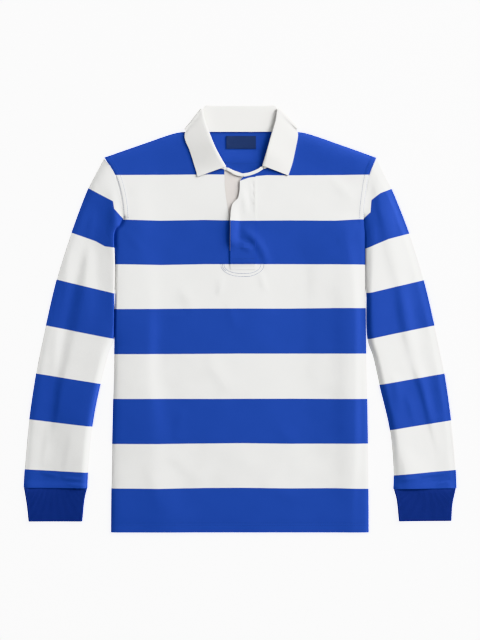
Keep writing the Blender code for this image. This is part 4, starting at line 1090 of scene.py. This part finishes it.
def group(name, inputs, outputs):
    """An empty shader node group with named sockets; its tree, input and output nodes."""
    tree = bpy.data.node_groups.new(name, "ShaderNodeTree")
    for socket, kind, value in inputs:
        made = tree.interface.new_socket(name=socket, in_out="INPUT", socket_type=kind)
        if value is not None:
            made.default_value = value
    for socket, kind in outputs:
        tree.interface.new_socket(name=socket, in_out="OUTPUT", socket_type=kind)
    return tree, tree.nodes.new("NodeGroupInput"), tree.nodes.new("NodeGroupOutput")


FLOAT, VECTOR = "NodeSocketFloat", "NodeSocketVector"
# The jersey's loops: courses to a wale, their slant, and the shares of column and loop in the relief.
COURSES_TO_WALE, LOOP_SLANT = 1.3, 1.1
COLUMN_SHARE, LOOP_SHARE = 0.7, 0.3
# How much painted shade darkens the jersey between its columns, and how much its nap adds to the
# relief.
GAP_SHADE, NAP_RELIEF = 0.07, 0.5
# The shares of ridge and crossing thread in the twill's relief.
RIDGE_SHARE, THREAD_SHARE = 0.7, 0.3
# The shares of slow and fine unevenness in the shade of worn cotton.
SLOW_SHARE, FINE_SHARE = 0.6, 0.4


def knit_group():
    """Jersey wales and courses: columns of small slanted loops, and the low gaps between them that
    take painted shade.
    """
    tree, given, out = group("Knit Loops", [("Cloth", VECTOR, None), ("Wales", FLOAT, 900.0)],
                             [("Height", FLOAT), ("Gap", FLOAT)])
    place = add(tree, "ShaderNodeSeparateXYZ", {"Vector": given.outputs["Cloth"]})
    wale = maths(tree, "MULTIPLY", place.outputs["X"], given.outputs["Wales"])
    course = maths(tree, "MULTIPLY", place.outputs["Y"],
                   maths(tree, "MULTIPLY", given.outputs["Wales"], COURSES_TO_WALE))
    side = maths(tree, "PINGPONG", wale, 0.5)
    slant = maths(tree, "ADD", course, maths(tree, "MULTIPLY", side, LOOP_SLANT))
    loop = maths(tree, "SINE", maths(tree, "MULTIPLY", slant, 2.0 * np.pi))
    column = maths(tree, "SINE", maths(tree, "MULTIPLY", side, 2.0 * np.pi))
    both = maths(tree, "MULTIPLY", loop, column)
    height = maths(tree, "ADD", maths(tree, "MULTIPLY", column, COLUMN_SHARE),
                   maths(tree, "MULTIPLY", both, LOOP_SHARE))
    tree.links.new(height, out.inputs["Height"])
    # The gap between the columns, where the jersey takes painted shade.
    tree.links.new(maths(tree, "SUBTRACT", 1.0, column, clamp=True), out.inputs["Gap"])
    return tree


def twill_group():
    """Twill: fine ridges that run diagonally, broken by the crossing threads."""
    tree, given, out = group("Twill Weave", [("Cloth", VECTOR, None), ("Threads", FLOAT, 1500.0)],
                             [("Height", FLOAT)])
    place = add(tree, "ShaderNodeSeparateXYZ", {"Vector": given.outputs["Cloth"]})
    across = maths(tree, "MULTIPLY", place.outputs["X"], given.outputs["Threads"])
    down = maths(tree, "MULTIPLY", place.outputs["Y"], given.outputs["Threads"])
    one_way, other_way = maths(tree, "ADD", across, down), maths(tree, "SUBTRACT", across, down)
    ridge = maths(tree, "SINE", maths(tree, "MULTIPLY", one_way, np.pi))
    crossing = maths(tree, "SINE", maths(tree, "MULTIPLY", other_way, 2.0 * np.pi))
    height = maths(tree, "ADD", maths(tree, "MULTIPLY", ridge, RIDGE_SHARE),
                   maths(tree, "MULTIPLY", crossing, THREAD_SHARE))
    tree.links.new(height, out.inputs["Height"])
    return tree


def handle_group():
    """The handle of worn cotton: slow unevenness of shade and a light nap."""
    tree, given, out = group("Cotton Handle", [("Cloth", VECTOR, None), ("Depth", FLOAT, 0.06)],
                             [("Shade", FLOAT), ("Height", FLOAT)])
    cloth = {"Vector": given.outputs["Cloth"]}
    slow = add(tree, "ShaderNodeTexNoise", cloth, Scale=22.0, Detail=3.0)
    fine = add(tree, "ShaderNodeTexNoise", cloth, Scale=900.0, Detail=2.0)
    both = maths(tree, "ADD", maths(tree, "MULTIPLY", slow.outputs["Fac"], SLOW_SHARE),
                 maths(tree, "MULTIPLY", fine.outputs["Fac"], FINE_SHARE))
    shade = maths(tree, "SUBTRACT", 1.0, maths(tree, "MULTIPLY", given.outputs["Depth"], both))
    tree.links.new(shade, out.inputs["Shade"])
    tree.links.new(fine.outputs["Fac"], out.inputs["Height"])
    return tree


def plain(name, roughness):
    """A new material with its tree and its shader."""
    made = bpy.data.materials.new(name)
    made.use_nodes = True
    shader = made.node_tree.nodes["Principled BSDF"]
    shader.inputs["Roughness"].default_value = roughness
    return made, made.node_tree, shader


def material(name, roughness, sheen):
    """A new cloth material: its tree, its shader and its cloth coordinates."""
    _, tree, shader = plain(name, roughness)
    shader.inputs["Sheen Weight"].default_value = sheen
    shader.inputs["Sheen Roughness"].default_value = 0.4
    shader.inputs["Specular IOR Level"].default_value = 0.12
    return tree, shader, add(tree, "ShaderNodeUVMap", uv_map="cloth").outputs["UV"]


def placed(tree, node_group, **links):
    """A node group placed in a material."""
    node = tree.nodes.new("ShaderNodeGroup")
    node.node_tree = node_group
    for socket, source in links.items():
        if isinstance(source, (int, float)):
            node.inputs[socket].default_value = source
        else:
            tree.links.new(source, node.inputs[socket])
    return node


def shaded(tree, colour, shade):
    """A colour, or a colour socket, darkened by a shade socket."""
    node = add(tree, "ShaderNodeMix", data_type="RGBA", blend_type="MULTIPLY")
    node.inputs["Factor"].default_value = 1.0
    if hasattr(colour, "__iter__"):
        node.inputs[6].default_value = tuple(colour)
    else:
        tree.links.new(colour, node.inputs[6])
    tree.links.new(shade, node.inputs[7])
    return node.outputs[2]


def bumped(tree, shader, height, strength, depth):
    """Feed a height to the shader's normal."""
    bump = add(tree, "ShaderNodeBump", {"Height": height})
    bump.inputs["Strength"].default_value = strength
    bump.inputs["Distance"].default_value = depth
    tree.links.new(bump.outputs["Normal"], shader.inputs["Normal"])


def hooped_jersey(colours, knit, handle):
    """Heavy jersey in two colours, told apart by the piece's hoop numbers."""
    tree, shader, cloth = material("hooped jersey", roughness=0.86, sheen=0.06)
    hoop = add(tree, "ShaderNodeAttribute", attribute_name="hoop").outputs["Fac"]
    turn = maths(tree, "SINE", maths(tree, "MULTIPLY", hoop, np.pi))
    is_white = maths(tree, "ADD", maths(tree, "MULTIPLY", turn, HOOP_SHARPNESS), 0.5, clamp=True)
    dyed = add(tree, "ShaderNodeMix", {"Factor": is_white}, data_type="RGBA")
    dyed.inputs[6].default_value = tuple(colours.hoop_blue)
    dyed.inputs[7].default_value = tuple(colours.hoop_white)
    loops = placed(tree, knit, Cloth=cloth)
    nap = placed(tree, handle, Cloth=cloth, Depth=0.08)
    # Painted shade in the gaps between the knit's columns.
    gap = maths(tree, "SUBTRACT", 1.0, maths(tree, "MULTIPLY", loops.outputs["Gap"], GAP_SHADE))
    shade = maths(tree, "MULTIPLY", nap.outputs["Shade"], gap)
    tree.links.new(shaded(tree, dyed.outputs[2], shade), shader.inputs["Base Color"])
    height = maths(tree, "ADD", loops.outputs["Height"],
                   maths(tree, "MULTIPLY", nap.outputs["Height"], NAP_RELIEF))
    bumped(tree, shader, height, strength=0.35, depth=0.00015)


def rib_knit(colours, knit, handle):
    """Rib knit of the cuffs."""
    tree, shader, cloth = material("rib knit", roughness=0.88, sheen=0.05)
    loops = placed(tree, knit, Cloth=cloth, Wales=850.0)
    nap = placed(tree, handle, Cloth=cloth, Depth=0.12)
    tree.links.new(shaded(tree, colours.rib_blue, nap.outputs["Shade"]), shader.inputs["Base Color"])
    bumped(tree, shader, loops.outputs["Height"], strength=0.4, depth=0.0002)


def twill(name, colour, weave, handle):
    """White cotton twill."""
    tree, shader, cloth = material(name, roughness=0.8, sheen=0.08)
    threads = placed(tree, weave, Cloth=cloth)
    nap = placed(tree, handle, Cloth=cloth, Depth=0.04)
    tree.links.new(shaded(tree, colour, nap.outputs["Shade"]), shader.inputs["Base Color"])
    bumped(tree, shader, threads.outputs["Height"], strength=0.3, depth=0.00012)


def woven_label(colours, weave, handle):
    """The satin ground of a plain woven label."""
    tree, shader, cloth = material("woven label", roughness=0.55, sheen=0.1)
    threads = placed(tree, weave, Cloth=cloth, Threads=2600.0)
    nap = placed(tree, handle, Cloth=cloth, Depth=0.15)
    tree.links.new(shaded(tree, colours.label_navy, nap.outputs["Shade"]), shader.inputs["Base Color"])
    bumped(tree, shader, threads.outputs["Height"], strength=0.4, depth=0.0001)


def thread(name, colour):
    """Sewing thread: a fine twist across each stitch."""
    tree, shader, _ = material(name, roughness=0.6, sheen=0.1)
    place = add(tree, "ShaderNodeTexCoord").outputs["Object"]
    twist = add(tree, "ShaderNodeTexWave", {"Vector": place}, Scale=900.0, Distortion=1.0)
    # The tone darkens the twist's grooves: painted shade between the thread's plies.
    tone = add(tree, "ShaderNodeMapRange", {"Value": twist.outputs["Fac"]})
    tone.inputs["To Min"].default_value = 0.8
    tree.links.new(shaded(tree, colour, tone.outputs["Result"]), shader.inputs["Base Color"])
    bumped(tree, shader, twist.outputs["Fac"], strength=0.3, depth=0.0001)


def paper_floor():
    """The pale floor: matt, with a barely uneven tone."""
    made, tree, shader = plain("pale floor", roughness=0.95)
    place = add(tree, "ShaderNodeTexCoord").outputs["Object"]
    tone = add(tree, "ShaderNodeTexNoise", {"Vector": place}, Scale=2.0, Detail=2.0)
    ramp = add(tree, "ShaderNodeMapRange", {"Value": tone.outputs["Fac"]})
    ramp.inputs["To Min"].default_value = 0.985
    tree.links.new(shaded(tree, (0.95, 0.95, 0.95, 1.0), ramp.outputs["Result"]),
                   shader.inputs["Base Color"])
    shader.inputs["Emission Color"].default_value = PURE_WHITE
    shader.inputs["Emission Strength"].default_value = 1.2
    return made


def stitch_row(bm, line, pitch, length, width, height):
    """Sew one row of stitches along a line of points, each a small rounded dash."""
    count = int(span(line) // pitch)
    middles = along(line, pitch * (np.arange(count) + 0.5))
    ahead = along(line, pitch * (np.arange(count) + 0.5) + 0.5)
    for middle, further in zip(middles, ahead):
        way = Vector(further - middle).normalized()
        turn = way.to_track_quat("X", "Z").to_matrix().to_4x4()
        size = Matrix.Diagonal((length / 2 * MM, width / 2 * MM, height / 2 * MM, 1.0))
        place = Matrix.Translation(Vector(middle) * MM) @ turn @ size
        bmesh.ops.create_icosphere(bm, subdivisions=1, radius=1.0, matrix=place)


def sewn(name, lines, kind, cotton, pitch=None):
    """A piece of stitching with a row of its kind along each line."""
    bm = bmesh.new()
    for line in lines:
        stitch_row(bm, line, pitch or PITCH[kind], *STITCH[kind])
    finished(name, bm, cotton)


def offset_line(line, aside):
    """A plan line moved to its left by a distance."""
    tangent = unit(np.gradient(line, axis=0))
    return line + aside * np.column_stack([-tangent[:, 1], tangent[:, 0]])


def refined(line, step):
    """The same line with a point about every step, and with eight at least."""
    return along(line, np.linspace(0.0, span(line), max(8, int(span(line) / step))))


def on_front(line, over=0.0):
    """Stitch points on the outside of the front along a plan line."""
    fine = refined(line, step=4.0)
    side, shoulder = fold_distances(fine)
    return lifted(fine, front_level(fine, np.minimum(side, shoulder)) + JERSEY_HALF + over)


def on_fly(line):
    """Stitch points on the outside of the fly along a plan line."""
    fine = refined(line, step=2.0)
    return lifted(fine, fly_level(fine) + FLY_CLOTH / 2)


def front_level(points, edge):
    """Height of the front's middle, turned down along its folded edges."""
    low = FOLD_LEVEL + EDGE_PARTING
    seam = np.minimum(*(distance(points, ARMHOLE_PATH[hand]) for hand in OUTWARD))
    allowance = ALLOWANCE * np.exp(-((seam - ALLOWANCE_MIDDLE) / ALLOWANCE_REACH) ** 4)
    return mix(low, front_height(points) + allowance, rounding(edge, EDGE_ROUNDING))


def back_level(points, edge):
    """Height of the back's middle, turned up along its folded edges."""
    low = FOLD_LEVEL - EDGE_PARTING
    inside = 1.0 - ease(edge, *BACK_CREASE_REACH)
    wrinkled = BACK_LEVEL + creases(points, BACK_CREASES) * inside
    return mix(low, wrinkled, rounding(edge, EDGE_ROUNDING))


def armhole_row(hand, aside):
    """A row on the front beside an armhole seam."""
    return on_front(offset_line(ARMHOLE_PATH[hand], OUTWARD[hand] * aside))


def hem_row(above):
    """A row straight along the hem, pulled a little into the cloth."""
    ends = np.array([[-HEM_ROW_END, HEM + above], [HEM_ROW_END, HEM + above]])
    return on_front(ends, -HEM_ROW_SINK)


def base_row(grow, share):
    """A row round the placket's base, larger than the first and sewn for a share of its points."""
    line = path({"x": BASE_ROW["x"] + grow * BASE_ROW["grow_x"],
                 "y": BASE_ROW["y"] + grow * BASE_ROW["grow_y"]})
    return on_front(line[:int(share * len(line))])


def back_row():
    """The curved row inside the back of the neck."""
    line = path(BACK_ROW)
    fine = along(line, np.linspace(0.0, span(line), BACK_ROW_POINTS))
    return lifted(fine, back_level(fine, BACK_CREASE_REACH[1]) + JERSEY_HALF)


def length_property(name, description, default, low, high):
    """A length in metres that a user can change."""
    return bpy.props.FloatProperty(name=name, description=description, default=default,
                                   min=low, max=high, unit="LENGTH", subtype="DISTANCE")


def colour_property(name, description, default):
    """A colour that a user can change."""
    return bpy.props.FloatVectorProperty(name=name, description=description, size=4,
                                         default=default, min=0.0, max=1.0, subtype="COLOR")


class ShirtSizes(bpy.types.PropertyGroup):
    """Sizes of the cloth and the camera's height, in metres."""
    jersey: length_property("Jersey", "Thickness of the jersey walls",
                            default=0.001, low=0.0006, high=0.0014)
    twill: length_property("Twill", "Thickness of the collar's twill",
                           default=0.0013, low=0.0008, high=0.0016)
    rib: length_property("Rib", "Thickness of the rib knit of the cuffs",
                         default=0.0018, low=0.001, high=0.002)
    stitch: length_property("Stitch", "From one stitch to the next at armholes and hem",
                            default=0.0032, low=0.002, high=0.005)
    camera_height: length_property("Camera height", "Height of the camera above the cloth",
                                   default=2.72, low=1.0, high=6.0)


class ShirtColours(bpy.types.PropertyGroup):
    """Colours of the cloth and thread."""
    hoop_blue: colour_property("Hoop blue", "The coloured hoops", (0.042, 0.09, 0.415, 1.0))
    hoop_white: colour_property("Hoop white", "The white hoops", (0.86, 0.86, 0.845, 1.0))
    rib_blue: colour_property("Rib blue", "The cuffs", (0.028, 0.05, 0.235, 1.0))
    collar_white: colour_property("Collar white", "The collar twill", (0.86, 0.855, 0.835, 1.0))
    # The under placket's white twill, darkened with painted shade from the fly lying over it.
    placket_white_in_painted_shade: colour_property("Placket white in painted shade", "The under placket",
                                   (0.7, 0.665, 0.64, 1.0))
    label_navy: colour_property("Label navy", "The plain neck label", (0.04, 0.06, 0.15, 1.0))
    thread_blue: colour_property("Blue thread", "Most of the stitching", (0.03, 0.07, 0.25, 1.0))
    thread_white: colour_property("White thread", "The row down the fly", (0.8, 0.8, 0.78, 1.0))


class ShirtOperator(bpy.types.Operator):
    """Common footing of the shirt's operators"""
    bl_options = {"REGISTER", "UNDO"}

    def execute(self, context):
        """Build with the scene's sizes and colours."""
        self.build(context.scene.shirt_sizes, context.scene.shirt_colours)
        return {"FINISHED"}


class SHIRT_OT_finishes(ShirtOperator):
    """Make the cloth and thread materials"""
    bl_idname = "shirt.finishes"
    bl_label = "Finishes"

    def build(self, sizes, colours):
        knit, weave, handle = knit_group(), twill_group(), handle_group()
        hooped_jersey(colours, knit, handle)
        rib_knit(colours, knit, handle)
        twill("collar twill", colours.collar_white, weave, handle)
        # The placket's twill: the same white twill, darkened with painted shade.
        twill("placket twill in painted shade", colours.placket_white_in_painted_shade, weave, handle)
        woven_label(colours, weave, handle)
        thread("blue thread", colours.thread_blue)
        thread("white thread", colours.thread_white)


class SHIRT_OT_back(ShirtOperator):
    """Lay the back"""
    bl_idname = "shirt.back"
    bl_label = "Back"

    def build(self, sizes, colours):
        plan = back_plan(BACK_CELL)
        edge = np.minimum(*fold_distances(plan))
        grid = lifted(plan, back_level(plan, edge))
        piece = wall("back_panel", grid, sizes.jersey / MM, "hooped jersey", "back",
                     hoops=hoop_of_body(plan))
        declare(piece, "body")


class SHIRT_OT_front(ShirtOperator):
    """Lay the front, with its placket slit"""
    bl_idname = "shirt.front"
    bl_label = "Front"

    def build(self, sizes, colours):
        plan, keep = front_plan(BODY_CELL)
        edge = np.minimum(*fold_distances(plan))
        level = front_level(plan, edge)
        hem = plan[..., 1] - HEM
        level = level - HEM_GROOVE * np.exp(-((hem - HEM_DEPTH) / HEM_GROOVE_REACH) ** 2)
        piece = wall("front_panel", lifted(plan, level), sizes.jersey / MM, "hooped jersey", "front",
                     hoops=hoop_of_body(plan), keep=keep)
        declare(piece, "body")


class SHIRT_OT_sleeves(ShirtOperator):
    """Lay the sleeves"""
    bl_idname = "shirt.sleeves"
    bl_label = "Sleeves"

    def build(self, sizes, colours):
        for hand in OUTWARD:
            grid = sleeve_rings(hand)
            piece = wall("sleeve_" + hand + "_cloth", grid, sizes.jersey / MM, "hooped jersey",
                         "sleeve_" + hand, hoops=hoop_of_sleeve(grid[..., :2], hand), wrap=True)
            declare(piece, "sleeve")


class SHIRT_OT_cuffs(ShirtOperator):
    """Put the rib cuffs on the sleeves"""
    bl_idname = "shirt.cuffs"
    bl_label = "Cuffs"

    def build(self, sizes, colours):
        for hand in OUTWARD:
            piece = wall("cuff_" + hand + "_rib", cuff_rings(hand), sizes.rib / MM, "rib knit",
                         "cuff_" + hand, wrap=True)
            declare(piece, "cuff")


class SHIRT_OT_placket(ShirtOperator):
    """Set the under placket and the fly into the slit"""
    bl_idname = "shirt.placket"
    bl_label = "Placket"

    def build(self, sizes, colours):
        # Its twill is darkened with painted shade from the fly.
        under = wall("placket_under", under_placket_grid(), sizes.jersey / MM, "placket twill in painted shade",
                     "under_placket")
        declare(under, "under placket")
        grid = fly_grid()
        cloth = mix(FLY_CLOTH, FLY_CLOTH_BASE, ease(grid[..., 1], *FLY_BASE))[..., None]
        fly = wall("placket_fly", grid, cloth, "hooped jersey", "fly_placket",
                   hoops=hoop_of_fly(grid[..., :2]))
        declare(fly, "fly")
        strip = fly_grid(-FACING_OUT, FACING_DROP)[FACING_FIRST_ROW:, :FACING_COLUMNS]
        facing = wall("placket_facing", strip, FACING_CLOTH, "collar twill")
        declare(facing, "facing")


class SHIRT_OT_collar(ShirtOperator):
    """Fold the collar round the neck"""
    bl_idname = "shirt.collar"
    bl_label = "Collar"

    def build(self, sizes, colours):
        piece = wall("collar_twill", collar_grid(), sizes.twill / MM, "collar twill", "collar")
        declare(piece, "collar")


class SHIRT_OT_neck(ShirtOperator):
    """Add the neck tape and the label"""
    bl_idname = "shirt.neck"
    bl_label = "Neck tape and label"

    def build(self, sizes, colours):
        for hand in OUTWARD:
            grid, dip = tape_grid(hand)
            cloth = mix(TAPE_CLOTH, TAPE_CLOTH_TUCKED, dip)[..., None]
            tape = wall("neck_tape_" + hand + "_strip", grid, cloth, "collar twill",
                        "neck_tape_" + hand)
            declare(tape, "neck tape")
        x = np.linspace(LABEL["left"], LABEL["right"], LABEL_COLUMNS)
        y = np.linspace(LABEL["low"], LABEL["high"], LABEL_ROWS)
        plan = np.stack(np.meshgrid(x, y), axis=-1)
        height = LABEL_LEVEL + LABEL_WAVE * waves(plan * LABEL_WAVES_CLOSER)
        height = height - LABEL_TURN * ease(plan[..., 1], *LABEL_TURN_REACH)
        label = wall("label_tape", lifted(plan, height), LABEL_CLOTH, "woven label", "neck_label")
        declare(label, "label")


class SHIRT_OT_stitching(ShirtOperator):
    """Sew the topstitching"""
    bl_idname = "shirt.stitching"
    bl_label = "Stitching"

    def build(self, sizes, colours):
        pitch = sizes.stitch / MM
        for hand in OUTWARD:
            rows = [armhole_row(hand, aside) for aside in ARMHOLE_ROWS]
            sewn("stitch_armhole_" + hand, rows, "armhole", "blue thread", pitch)
        sewn("stitch_hem", [hem_row(above) for above in HEM_ROWS], "hem", "blue thread", pitch)
        rows = [base_row(grow, share) for grow, share in BASE_ROWS]
        sewn("stitch_placket", rows, "placket base", "blue thread")
        sewn("stitch_fly", [on_fly(path(FLY_ROW))], "fly", "white thread")
        bars = [on_fly(np.array([[left, y], [right, y]])) for y, left, right in FLY_BARS]
        sewn("stitch_fly_base", bars, "fly base", "blue thread")
        sewn("stitch_back_neck", [back_row()], "back of neck", "blue thread")


def lamp(name, place, size, power):
    """A square soft light aimed at the shirt."""
    data = bpy.data.lights.new(name, "AREA")
    data.size, data.energy = size, power
    light = bpy.data.objects.new(name, data)
    light.location = place
    light.rotation_euler = (-Vector(place)).to_track_quat("-Z", "Y").to_euler()
    bpy.context.scene.collection.objects.link(light)


class SHIRT_OT_stage(ShirtOperator):
    """Set the floor, the light and the camera"""
    bl_idname = "shirt.stage"
    bl_label = "Stage"

    def build(self, sizes, colours):
        scene = bpy.context.scene
        bm = bmesh.new()
        bmesh.ops.create_grid(bm, x_segments=2, y_segments=2, size=FLOOR_HALF)
        mesh = bpy.data.meshes.new("floor")
        bm.to_mesh(mesh)
        bm.free()
        mesh.materials.append(paper_floor())
        floor = bpy.data.objects.new("floor", mesh)
        floor.location.z = -FLOOR_DROP
        scene.collection.objects.link(floor)
        lamp("key", place=(3.58, 2.33, 1.97), size=3.4, power=465.0)
        lamp("fill", place=(-1.6, 0.4, 2.4), size=2.2, power=8.0)
        # The photograph keeps a saturated blue beside a near white, and so does this transform.
        scene.view_settings.view_transform = "Khronos PBR Neutral"
        scene.world = bpy.data.worlds.new("studio")
        scene.world.use_nodes = True
        background = scene.world.node_tree.nodes["Background"]
        background.inputs["Color"].default_value = PURE_WHITE
        background.inputs["Strength"].default_value = 0.3
        lens = bpy.data.cameras.new("camera")
        lens.lens, lens.sensor_width = 85.0, 36.0
        camera = bpy.data.objects.new("camera", lens)
        camera.location = (*CAMERA_ASIDE, sizes.camera_height + CAMERA_LIFT)
        scene.collection.objects.link(camera)
        scene.camera = camera


OPERATORS = (SHIRT_OT_finishes, SHIRT_OT_back, SHIRT_OT_front, SHIRT_OT_sleeves, SHIRT_OT_cuffs,
             SHIRT_OT_placket, SHIRT_OT_collar, SHIRT_OT_neck, SHIRT_OT_stitching, SHIRT_OT_stage)


class SHIRT_PT_panel(bpy.types.Panel):
    """The shirt's sizes, colours and pieces"""
    bl_label = "Shirt"
    bl_idname = "SHIRT_PT_panel"
    bl_space_type = "VIEW_3D"
    bl_region_type = "UI"
    bl_category = "Shirt"

    def draw(self, context):
        """List the settings, then the operators in their order."""
        for settings in (context.scene.shirt_sizes, context.scene.shirt_colours):
            column = self.layout.column()
            for key in settings.__annotations__:
                column.prop(settings, key)
        for operator in OPERATORS:
            self.layout.operator(operator.bl_idname)


CLASSES = (ShirtSizes, ShirtColours, *OPERATORS, SHIRT_PT_panel)


def register():
    """Register the classes and hang the settings on the scene."""
    for made in CLASSES:
        bpy.utils.register_class(made)
    bpy.types.Scene.shirt_sizes = bpy.props.PointerProperty(type=ShirtSizes)
    bpy.types.Scene.shirt_colours = bpy.props.PointerProperty(type=ShirtColours)


def unregister():
    """Take the settings and the classes away again."""
    del bpy.types.Scene.shirt_colours, bpy.types.Scene.shirt_sizes
    for made in reversed(CLASSES):
        bpy.utils.unregister_class(made)


def main():
    """Build the shirt and its stage."""
    register()
    for operator in OPERATORS:
        area, name = operator.bl_idname.split(".")
        getattr(getattr(bpy.ops, area), name)()


if __name__ == "__main__":
    main()
